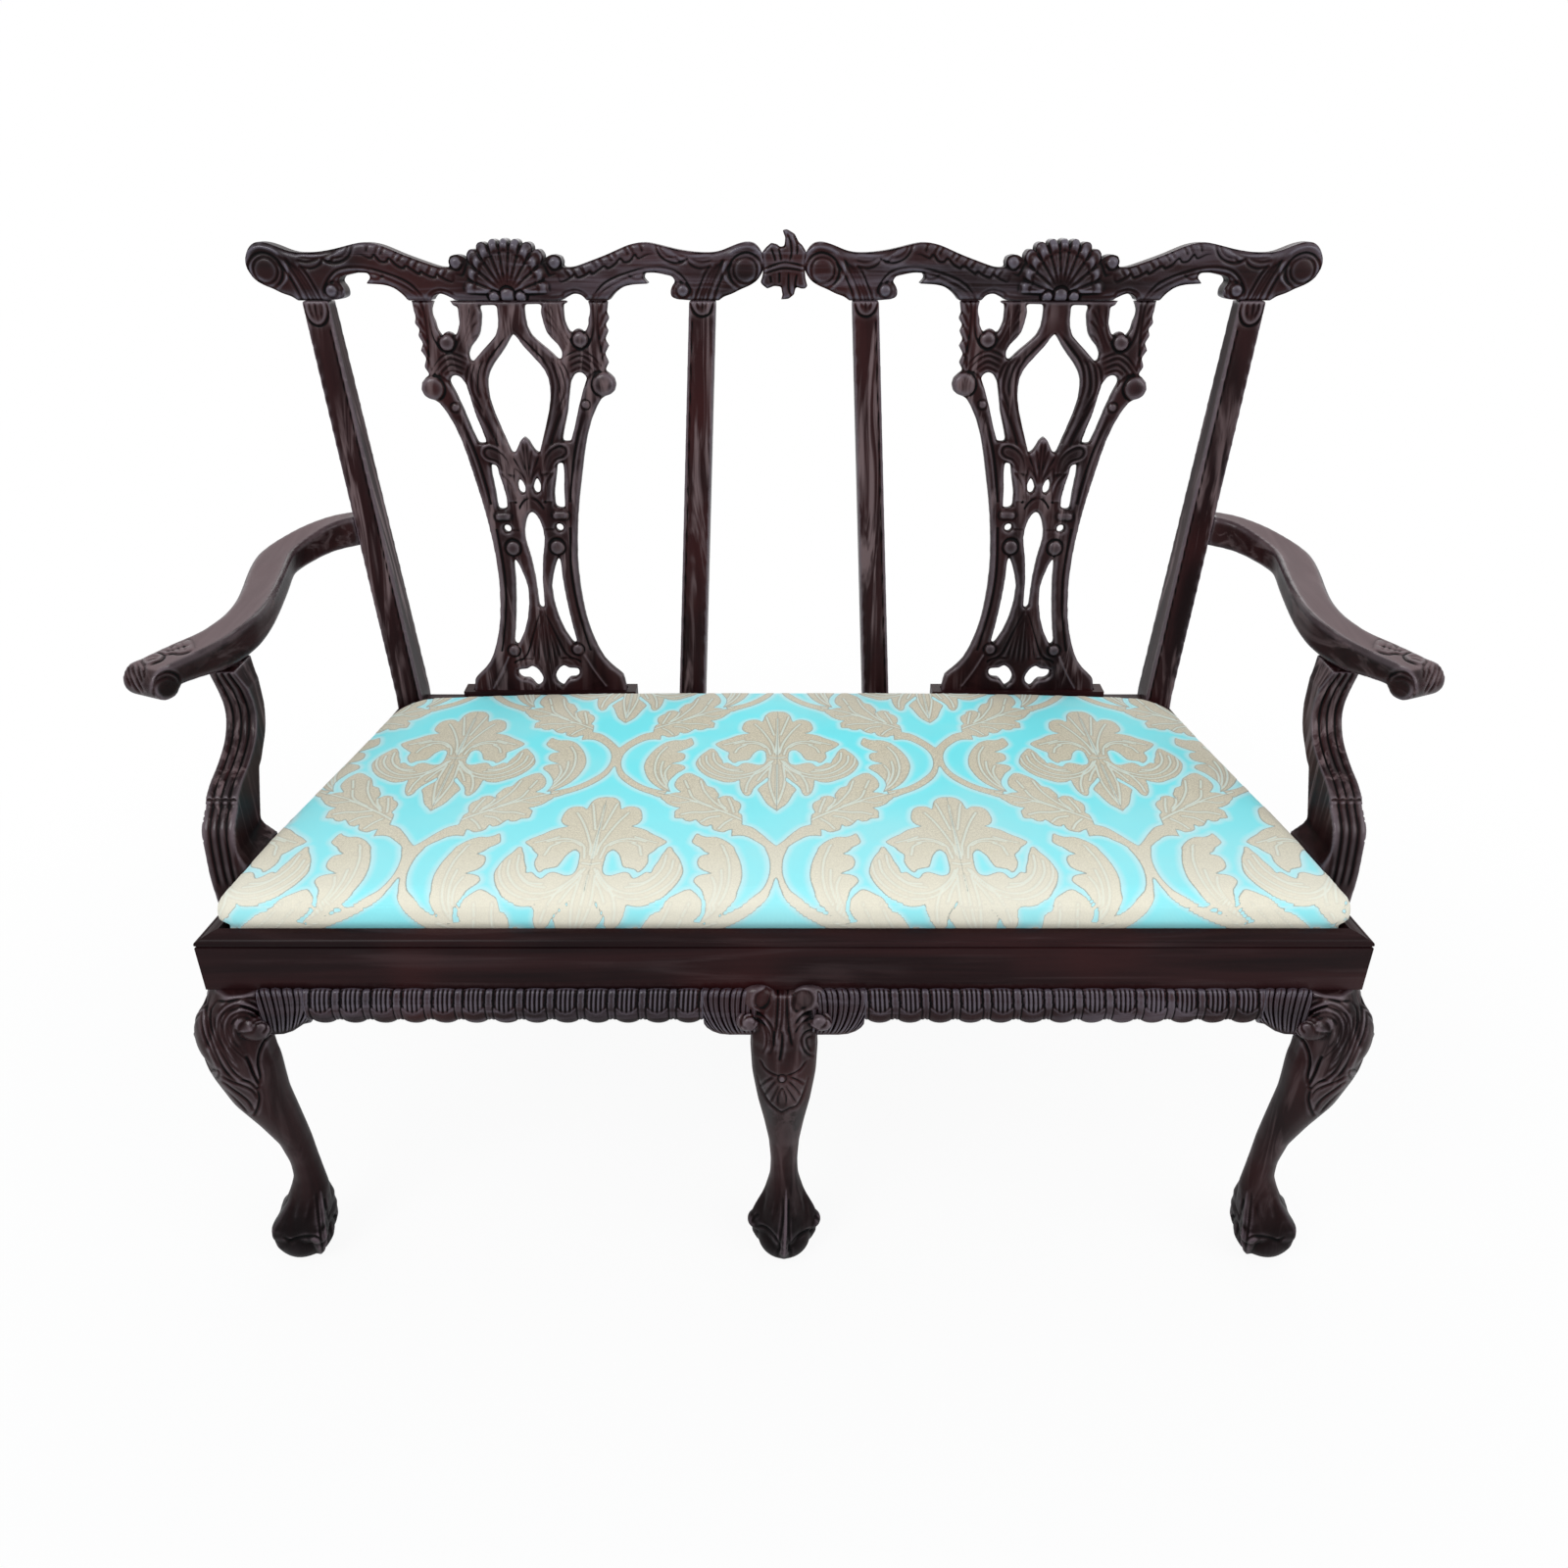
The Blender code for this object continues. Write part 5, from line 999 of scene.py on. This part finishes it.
def foot(x, y, turn):
    """The ball, and a round knuckle over it at each side talon."""
    knuckle = (0.0315, 0.0470, (0.0110, 0.0110, 0.0120))
    return [ball((x + reach * math.cos(a), y + reach * math.sin(a), z), size) for a, reach, z, size in (
        (turn, 0.006, 0.0292, (0.0305, 0.0280, 0.0288)),
        (turn - math.pi / 2, *knuckle), (turn + math.pi / 2, *knuckle))]


# The webs' rings: height, half width, and how far the leg above leans aside and back

WEB_RINGS = ((0.118, 0.0135, 0.0166, 0.0037), (0.100, 0.0180, 0.0144, 0.0032),
             (0.084, 0.0245, 0.0102, 0.0018), (0.068, 0.0315, 0.0055, 0.0005),
             (0.056, 0.0355, 0, 0), (0.046, 0.0365, 0, 0), (0.036, 0.0340, 0, 0), (0.006, 0.0230, 0, 0))


def web(x, y, turn, lean, high=0.030, sides=32):
    """The skin between the talons, cut up between them, over the ball."""
    work = bmesh.new()
    rings = []
    for z, half, aside, back in WEB_RINGS:
        ring = []
        for i in range(sides):
            a = 2 * math.pi * i / sides
            reach = half * (1 + 0.10 * math.cos(4 * a)) / (abs(math.cos(a)) + abs(math.sin(a))) ** 0.35
            ring.append(work.verts.new((x + lean * aside + reach * math.cos(a + turn),
                                        y + back + reach * math.sin(a + turn), z)))
        rings.append(ring)
    for upper, lower in zip(rings, rings[1:]):
        for i in range(sides):
            work.faces.new((upper[i], upper[(i + 1) % sides], lower[(i + 1) % sides], lower[i]))
    work.faces.new(rings[0])
    work.faces.new(rings[-1])
    bmesh.ops.recalc_face_normals(work, faces=work.faces)
    for k in range(4):
        a = turn + math.pi / 4 + math.pi / 2 * k
        outward = Vector((math.cos(a), math.sin(a), 0))
        bmesh.ops.bisect_plane(work, geom=work.verts[:] + work.edges[:] + work.faces[:], clear_outer=True,
                               plane_co=Vector((x, y, high)) + outward * 0.012,
                               plane_no=(outward * 0.55 + Vector((0, 0, -1))).normalized())
        bmesh.ops.holes_fill(work, edges=open_edges(work))
    return written(work, "web")


def carved_leg(node, parts, even_to, marks, shift=0.0, corner=False):
    skin = remeshed(node, parts, 0.0014, 5)
    evened(skin, even_to)
    carve_as_seen(skin, marks, shift, corner)
    soften(skin, 1)
    return mark_hollows(skin)


CORNER_MARKS = """
line 1.2 -1.6 276,1047 270,1038 262,1033 253,1029 243,1026 236,1028 228,1033 223,1041 222,1050 224,1060
    228,1069 234,1078 241,1086
line 1.1 -1.5 268,1038 258,1031 248,1028 241,1030 233,1034 228,1041 227,1050 229,1060 234,1069 241,1077
    248,1084
262,1037 252,1033 243,1034 236,1038 232,1045 231,1053 233,1062 238,1069 245,1076 252,1081
line 0.9 -1.3 272,1043 265,1035 256,1030 245,1028 235,1031 226,1037 225,1049 227,1060 232,1070 238,1078
    245,1085
266,1041 258,1036 247,1035 239,1040 234,1047 234,1055 237,1063 243,1070 250,1076
line 1.0 -1.5 268,1055 272,1050 272,1045 267,1043 262,1045 261,1049
line 1.0 -1.3 254,1037 245,1038 238,1043 236,1050 237,1058 241,1065 247,1071
line 1.3 -1.4 270,1031 258,1024 247,1021 238,1022 229,1026 222,1034
line 1.1 -1.5 259,1051 257,1046 260,1042 266,1040 273,1042 277,1048 277,1054
pad 1 1.4 240,1049 241,1042 250,1040 258,1044 258,1051 250,1053 243,1053
line 1.6 -2.4 279,1050 275,1057 269,1065 265,1075 264,1086 266,1097 266,1106
line 1.6 -2.6 251,1077 255,1086 258,1094 262,1102 265,1108
line 1.2 -1.5 215,1014 211,1026 210,1038 212,1051 216,1064 221,1077 227,1089 234,1098 242,1105
line 1.2 -1.6 222,1021 215,1030 214,1042 217,1056 223,1070 231,1084 239,1095 248,1102 256,1105
line 1.2 -1.4 206,1030 205,1042 208,1056 213,1068 219,1081 224,1090
line 1.2 -1.5 219,1036 219,1050 223,1063 229,1075 236,1086 244,1094
226,1098 236,1104 247,1108 256,1112 260,1116 263,1122
226,1103 236,1111 246,1118 254,1125 259,1134
line 1.1 -1.4 227,1110 236,1118 246,1128 253,1136
line 1.2 -1.5 244,1103 252,1104 258,1107 262,1111 266,1108
line 1.5 -1.8 263,1112 265,1121 263,1131 259,1139
dot 4.0 1.3 219,1096
line 1.4 -1.8 221,1021 232,1022 245,1019 262,1019
pad 1 1.0 262,1008 262,1020 268,1024 276,1040 277,1008
line 1.2 -1.3 262,1009 263,1020 270,1028 277,1042
line 1.0 1.5 327,1214 329,1232 331,1250 333,1266 334,1282
line 1.3 -1.5 323,1216 324,1232 326,1250 328,1266 330,1281
331,1222 334,1236 337,1250 338,1262
line 1.5 -1.7 289,1262 296,1266 302,1264 312,1262 322,1262 328,1266
338,1240 344,1241 348,1238
"""
CENTRE_MARKS = """
line 1.2 -1.7 789,1005 789,1020 788,1036 787,1048 785,1058 784,1068
799,1005 799,1020 799,1036 800,1048 802,1062 804,1068
line 1.1 -1.3 793.5,1008 793.5,1025 793,1040 791,1052 789,1062
797,1012 797,1030 797,1045 799,1056
line 1.5 -2.0 793,1052 793,1064 792,1074 790,1084
pad 1 -1.9 764,1022 766,1015 773,1010 779,1005 783,1010 782,1020 778,1028 771,1031 765,1028
pad 1 -1.6 803,1014 812,1010 822,1012 826,1019 823,1027 815,1031 807,1034 802,1026
830,1011 836,1017 839,1026 834,1030 829,1022
line 1.2 -1.7 751,1041 754,1035 760,1032 768,1034 776,1040 782,1048 784,1058 784,1067 780,1077
line 1.1 -1.4 752,1045 756,1039 762,1037 768,1040 774,1047 777,1056 777,1066 773,1075
line 1.1 -1.3 764,1037 771,1042 778,1050 781,1060 780,1070
pad 1 1.3 752,1049 753,1042 760,1038 768,1044 769,1050 760,1053
line 1.2 -1.7 805,1049 810,1040 818,1034 828,1033 838,1036 843,1042 846,1048
line 1.1 -1.4 805,1057 811,1047 818,1041 826,1037
line 1.1 -1.3 808,1045 815,1037 824,1035
pad 1 1.3 822,1046 828,1039 837,1039 844,1045 842,1050 832,1051
line 1.2 -1.6 828,1051 820,1052 815,1056 813,1062 815,1070 820,1076 826,1078
line 1.1 -1.3 824,1057 819,1060 819,1067 823,1073
770,1080 775,1090 783,1096 790,1098
818,1082 812,1091 804,1096 797,1098
line 1.4 -1.6 767,1096 770,1108 776,1120 781,1127 788,1133 793,1135.5 800,1132 808,1129 813,1121 817,1110
    820,1098
line 1.0 -1.4 789,1128 789,1119 793,1111 797,1119 797,1128
line 1.0 -1.3 790,1108 786,1116 781,1125
787,1103 780,1111 775,1118
784,1099 776,1104 770,1109
796,1108 802,1117 808,1126
799,1103 807,1111 812,1118
801,1099 810,1103 816,1107
dot 3.4 1.2 793,1101
line 1.1 -1.4 757,1050 751,1044 752,1036 758,1032 764,1035 766,1041 763,1046
831,1050 838,1044 837,1036 831,1032 825,1035 823,1041 826,1046
line 1.0 1.7 797,1212 797,1230 797,1248 796,1266 795,1283
line 1.3 -1.5 794,1222 794,1240 792,1256 790,1270 788,1282
800,1222 800,1240 800,1256 801,1270 802,1282
line 1.5 -1.7 766,1251 775,1252 783,1259 788,1267 791,1277
828,1254 818,1256 809,1262 803,1269 799,1278
line 1.3 -1.2 770,1238 764,1243 763,1248
825,1240 831,1245 832,1252
"""
knee = [lump(260, 1049, -0.0115, (0.0175, 0.0105, 0.0140)),
        lump(224, 1058, -0.0020, (0.0215, 0.0205, 0.0400))]
knee += [mirrored(part, CORNER_MIRROR) for part in knee]
parts = [web(CORNER_FOOT_X, FOOT_Y, -math.pi / 4, 1), *knee, *foot(CORNER_FOOT_X, FOOT_Y, -math.pi * 0.75)]
skin = carved_leg("left_front_leg", parts, 0.320, CORNER_MARKS, corner=True)
add_pair("front_leg", skin, LEG_WOOD, "left")
scrolls = [lump(MIDDLE + side * px, py, back, size) for side in (-1, 1) for px, py, back, size in (
    (38, 1042, -0.0125, (0.0112, 0.0080, 0.0112)), (26, 1019, -0.0040, (0.0190, 0.0095, 0.0165)))]
parts = [web(0, FOOT_Y, -math.pi / 2, 0), *scrolls, *foot(0, FOOT_Y, -math.pi / 2)]
skin = carved_leg("front_centre_leg", parts, 0.345, CENTRE_MARKS, 5.0)
add_piece("carved_front_centre_leg", skin, LEG_WOOD, ["front_centre_leg"])


# Gadrooned apron: its section in millimetres, forwards and up from the fascia and the legs' top

APRON_FRONT = """0.9,2.8 2.8,3.6 5.6,2.8 8.4,0.4 10.5,-3.2 11.8,-7.6 12.2,-12.2 12.0,-17.0 11.3,-21.4
10.0,-25.4 8.0,-28.8 5.2,-31.3 1.5,-32.8 -3,-33.4"""
APRON_BACK = np.array([(-10, -33.4), (-17.4, -33.4), (-17.4, -17), (-17.4, 0), (-9, 0), (0.5, 0),
                       (0.5, 2.2)])
APRON_DEPTH = 33.4
PITCH = 30.46


def apron(place, length, columns, height_of, relief, rows=84):
    """A carved moulding along the drawing's width, with the relief on its front and the given height."""
    section = path_of(APRON_FRONT, 6)
    arc = np.concatenate([[0], np.cumsum(np.hypot(*np.diff(section, axis=0).T))])
    t = np.linspace(0, 1, rows)
    front = np.stack([np.interp(t * arc[-1], arc, section[:, axis]) for axis in (0, 1)], axis=1)
    slope = np.gradient(front, axis=0)
    outward = np.stack([-slope[:, 1], slope[:, 0]], axis=1)
    outward /= np.linalg.norm(outward, axis=1)[:, None]
    around = rows + len(APRON_BACK)
    mesh = grid("apron", columns, around)
    flat = points_of(mesh)
    column = np.rint((flat[:, 0] + 1) / 2 * columns).astype(int)
    row = np.rint((flat[:, 1] + 1) / 2 * around).astype(int) % around
    x = column / columns * length * 1000
    rise = relief(x, np.where(row < rows, t[np.minimum(row, rows - 1)], -1.0))
    loop, lift = np.vstack([front, APRON_BACK]), np.vstack([outward, np.zeros_like(APRON_BACK)])
    p = loop[row, 0] + lift[row, 0] * rise
    z = loop[row, 1] + lift[row, 1] * rise
    z = np.where(z > 0, z, z * height_of(x) / APRON_DEPTH)
    put_points(mesh, off_drawing(np.stack([x, -p, z], axis=1), place))
    work = opened(mesh)
    bmesh.ops.remove_doubles(work, verts=work.verts, dist=0.000005)
    bmesh.ops.holes_fill(work, edges=open_edges(work))
    bmesh.ops.recalc_face_normals(work, faces=work.faces)
    return mark_hollows(written(work, mesh), 0.0006)


def gadroon_height(x):
    return 40.0 - 5.6 * (1 - np.sin(np.pi * (x / PITCH % 1)) ** 0.55)


def gadroon_relief(x, t):
    """Fluted lobes with plain narrow spacers between them."""
    bent = x + 4.0 * unit(0.5 - t)
    phase = (bent / PITCH + 0.12) % 1
    split = 0.24
    lobe = unit((phase - split) / (1 - split))
    spacer = unit(phase / split)
    on_lobe = phase > split
    bulge = np.where(on_lobe, dome(2 * lobe - 1, rise=2.0), dome(2 * spacer - 1, rise=1.5))
    inner = unit((lobe - 0.10) / 0.80)
    stop = 0.53 - 0.08 * (2 * inner - 1) ** 2
    cut = unit((stop - t) / 0.04) * unit((t - 0.03) / 0.05)
    flutes = -1.5 * (1 - np.abs(np.sin(inner * 4 * np.pi))) ** 1.3 * cut * on_lobe
    ledge = -0.6 * cut * on_lobe * (inner > 0.01) * (inner < 0.99)
    tops = 0.8 * valley(t - 0.10, 0.06)
    return np.where(t < 0, 0, bulge + flutes + ledge + tops - 1.8)


def reeds(x, t):
    """S-curved reeds, each with a fine line, for the knee brackets."""
    share = np.clip(t, 0, 0.9)
    bent = (x - 5.6 * np.sin(np.pi * share ** 0.9)) / (1 - 0.55 * share ** 2)
    phase = (bent / 45.0 * 4) % 1
    wide = dome(2 * phase - 1, rise=3.0)
    thin = -1.3 * (1 - np.abs(np.sin(phase * np.pi * 2))) ** 2.0 * unit((t - 0.04) / 0.10)
    top = 1.2 * valley(t - 0.12, 0.07)
    plain = unit((t - 0.66) / 0.12)
    return np.where(t < 0, 0, (wide + thin + top - 2.5) * (1 - plain) - 0.5 * plain)


def at_fascia(x):
    return Matrix.Translation((x, FASCIA_Y, LEG_TOP))


LEG_HALF = 0.0357
CORNER_LEG = 0.0535
GAP = 0.0003
start = LEG_HALF + 0.0448 + GAP
run = RAIL_HALF - CORNER_LEG - 0.045 - GAP - start
add_pair("gadroon", apron(at_fascia(start), run, 572, gadroon_height, gadroon_relief), LENGTHWISE,
         node="{}_gadroon_moulding")
along = Vector((-math.sin(TAPER), math.cos(TAPER), 0))
side_place = (Matrix.Translation(Vector((RAIL_HALF, FASCIA_Y, LEG_TOP)) + along * 0.0495)
              @ Matrix.Rotation(math.pi / 2 + TAPER, 4, 'Z'))

# Knee brackets, with the heights that their lower edges have at shares of their length

SHALLOW = ([0, 0.52, 0.70, 0.85, 0.95, 1.0], [58.0, 58.0, 56.8, 53.0, 48.0, 43.0])
STEEP = ([0, 0.33, 0.55, 0.71, 0.84, 1], [58, 57, 53, 47.5, 43, 41])
for name, node, drawn, material, edge, length, columns, place in (
        ("centre_bracket", "centre_{}_knee_bracket", "right", LENGTHWISE, SHALLOW, 0.0528, 106,
         at_fascia(LEG_HALF - 0.0080)),
        ("front_bracket", "{}_front_knee_bracket", "left", LENGTHWISE, STEEP, 0.045, 90,
         at_fascia(-RAIL_HALF + CORNER_LEG)),
        ("side_bracket", "{}_side_knee_bracket", "right", SIDE_CARVING, SHALLOW, 0.0735, 146, side_place)):
    made = apron(place, length, columns, lambda x: np.interp(x / (length * 1000), *edge), reeds)
    add_pair(name, made, material, drawn, node)


# Drop-in seat

COVER_INSET = 0.0036
PAD_INSET = COVER_INSET + 0.008
COVER_FOOT = 0.4545
RIM = 0.016
CROWN = np.array([(0, 0), (0.012, 0.06), (0.045, 0.20), (0.10, 0.38), (0.19, 0.59), (0.32, 0.78),
                  (0.52, 0.92), (0.76, 0.985), (1, 1)])


def seat_half(y, inset):
    """Half width of the seat at a depth behind the fascia, with its corners rounded."""
    half = RAIL_HALF - (REBATE + inset) / math.cos(TAPER) - y * math.tan(TAPER)
    for reach, radius in ((y - (REBATE + inset), 0.013), (SEAT_DEPTH - inset - y, 0.052)):
        half = half - rolled(radius, reach)
    return half


def eased(t, bend=0.55):
    return np.sin(t * math.pi / 2 * bend) / math.sin(math.pi / 2 * bend)


def crown(t):
    return np.interp(1 - np.abs(t), CROWN[:, 0], CROWN[:, 1])


def seat_form(name, columns, rows, inset, foot_z, rings, rim=0.0, drop=0.0):
    """A crowned form over the seat, its columns following the sides, with a skirt and a flat foot."""
    mesh = grid(name, columns, rows)
    flat = points_of(mesh)
    across, along = eased(flat[:, 0]), eased(flat[:, 1])
    low, high = REBATE + inset, SEAT_DEPTH - inset
    y = (low + high) / 2 + along * (high - low) / 2
    half = seat_half(y, inset)
    edge = 0.033 - 0.019 * y / SEAT_DEPTH + 0.007 * valley(y - 0.15, 0.13)
    z = RAIL_TOP + edge + (0.054 - edge) * crown(across) * crown(along) - drop
    for away in ((1 - np.abs(across)) * half, np.minimum(y - REBATE - inset, high - y)):
        z = z - rolled(rim, away) * 0.9
    put_points(mesh, np.stack([across * half, y + FASCIA_Y, z], axis=1))
    work = opened(mesh)
    skirt = open_edges(work)
    for k in range(rings):
        grown = bmesh.ops.extrude_edge_only(work, edges=skirt)["geom"]
        skirt = [part for part in grown if isinstance(part, bmesh.types.BMEdge)]
        for part in grown:
            if isinstance(part, bmesh.types.BMVert):
                part.co.z += (foot_z - part.co.z) / (rings - k)
    bmesh.ops.contextual_create(work, geom=skirt)
    bmesh.ops.recalc_face_normals(work, faces=work.faces)
    return written(work, mesh)


def swollen(mesh, sideways=0.0085, forwards=0.0025):
    """The cover's sides swell over the rail."""
    points, outward = points_of(mesh), normals_of(mesh)
    level = (points[:, 2] - RAIL_TOP - 0.0006) / 0.034
    swell = unit(level * 7) ** 0.6 * np.cos(unit((level - 0.2) / 0.8) * math.pi / 2)
    points[:, 0] += outward[:, 0] * swell * sideways
    points[:, 1] += outward[:, 1] * swell * forwards
    put_points(mesh, points)
    return points


def motif_values(x, y):
    """Distance inside a figure and to a vein, in millimetres; the front of the pattern is stretched."""
    laid, drawn = [70, 113, 121, 135, 202, 224], [86, 120, 124, 141, 199, 224]
    y = np.where(y < 70, 86 - (70 - y) * 0.8, np.where(y > 224, y, np.interp(y, laid, drawn)))
    motif, vein = np.full(len(x), -1e3), np.full(len(x), 1e3)
    outlines = [path_of(text, 3) for text in MOTIF.values()]
    veins = [path_of(text, 3) for text in MOTIF_VEINS.strip().split("\n")]
    for axis, base in FLOWERS:
        u = np.abs((x - axis + REPEAT / 2) % REPEAT - REPEAT / 2)
        w = y - base
        near = (w > -175) & (w < 145)
        for outline in outlines:
            spot = near & (w > outline[:, 1].min() - 30) & (w < outline[:, 1].max() + 30)
            motif[spot] = np.maximum(motif[spot], inside_of(outline, u[spot], w[spot]))
        for line in veins:
            spot = near & (w > line[:, 1].min() - 6) & (w < line[:, 1].max() + 6)
            vein[spot] = np.minimum(vein[spot], distance_to(line, u[spot], w[spot])[0])
    return np.clip(motif, -30, 30), np.clip(vein, 0, 30)


def figured(mesh, points, level=0.50, side_level=0.490):
    """The damask's figures laid over the seat as the camera sees them, and down its sides and back."""
    eye = np.array(EYE)
    seen = eye + (points - eye) * ((eye[2] - level) / (eye[2] - points[:, 2]))[:, None]
    px, py = seen[:, 0] * 1000, (seen[:, 1] - FASCIA_Y) * 1000
    outward = normals_of(mesh)
    on_side = (np.hypot(outward[:, 0], outward[:, 1]) > 0.8) & (outward[:, 1] > -0.5)
    fall = np.where(on_side, side_level - points[:, 2], 0)[:, None] * outward * 1000
    px, py = px + fall[:, 0], py + fall[:, 1]
    motif, vein = motif_values(px, py)
    motif += unit((40 - py) / 15) * (motif > -2.5) * 2.6
    store(mesh, "motif", motif)
    store(mesh, "vein", vein)
    lift = unit(motif / 1.4 + 0.5) * 0.00045 + valley(vein, 0.9) * 0.0003
    put_points(mesh, points + outward * lift[:, None])


cover = seat_form("cover", 780, 342, COVER_INSET, COVER_FOOT, 12, RIM)
figured(cover, swollen(cover))
cushion = add_piece("damask_seat_cover", cover, DAMASK, ["seat_cover"], "drop_in_seat")
pad = seat_form("pad", 90, 44, PAD_INSET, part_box("seat_pad")[0][2] + 0.0005, 1, drop=0.010)
cushion = add_piece("foam_pad", pad, FOAM, ["seat_pad"], "drop_in_seat")

for name, node, material, slot in (("woven_webbing", "seat_webbing", JUTE, "webbing"),
                                   ("black_dust_cover", "seat_dust_cover", CAMBRIC, "cambric")):
    work = node_copy(node)
    bmesh.ops.dissolve_limit(work, angle_limit=0.01, verts=work.verts, edges=work.edges)
    bmesh.ops.triangulate(work, faces=work.faces)
    cloth = add_piece(name, written(work, name), material, [node], "drop_in_seat")
    cloth.data.shade_flat()


# CAD pieces that stay, with their finishes

WOODS = {"screw": STEEL, "seat_bar": BEECH, "side_rail": SIDE_WOOD, "leg": POST_WOOD, "": RAIL_WOOD}
for name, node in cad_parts.items():
    for slot in node.material_slots:
        slot.material = next(material for word, material in WOODS.items() if word in name)


# Floor and light

def studio():
    """A pale floor that shows white but keeps the shadows, white surroundings and three lamps."""
    floor = placed("floor", grid("floor", 1, 1, 30))
    pale = Finish("pale_floor", Roughness=0.9, Base_Color=(0.93, 0.93, 0.93, 1))
    reach = pale.add("ShaderNodeVectorMath", {"operation": 'LENGTH'}, pale.place(), out=1)
    seen = pale.add("ShaderNodeLightPath", {}, out="Is Camera Ray") * (reach.step(0.8, 1.7) * 0.08 + 0.92)
    pale.show(seen, Sum(pale, pale.shader.outputs[0]), pale.add("ShaderNodeEmission", {}), "Material Output")
    floor.data.materials.append(pale.material)

    world = bpy.data.worlds.new("studio")
    bpy.context.scene.world = world
    world.use_nodes = True
    sky = Nodes(world.node_tree)
    plain = sky.tree.nodes["Background"]
    plain.inputs[0].default_value = (0.93, 0.97, 1.0, 1)
    plain.inputs[1].default_value = 0.55
    seen, gloss, glass = (sky.add("ShaderNodeLightPath", {}, out=f"Is {kind} Ray")
                          for kind in ("Camera", "Glossy", "Transmission"))
    sky.show(seen.most(gloss).most(glass), Sum(sky, plain.outputs[0]),
             sky.add("ShaderNodeBackground", {}, (1, 1, 1, 1)), "World Output")

    for name, place, size, power in (("key", (-1.6, -2.2, 3.0), 1.6, 42),
                                     ("fill", (2.2, -1.8, 2.2), 2.0, 24),
                                     ("back", (0.3, 2.6, 2.6), 2.0, 26)):
        light = bpy.data.lights.new(name, 'AREA')
        light.size, light.energy = size, power
        lamp = placed(name, light)
        lamp.location = place
        lamp.rotation_euler = (Vector((0, 0, 0.5)) - Vector(place)).to_track_quat('-Z', 'Y').to_euler()
    bpy.context.scene.view_settings.view_transform = 'Standard'


studio()
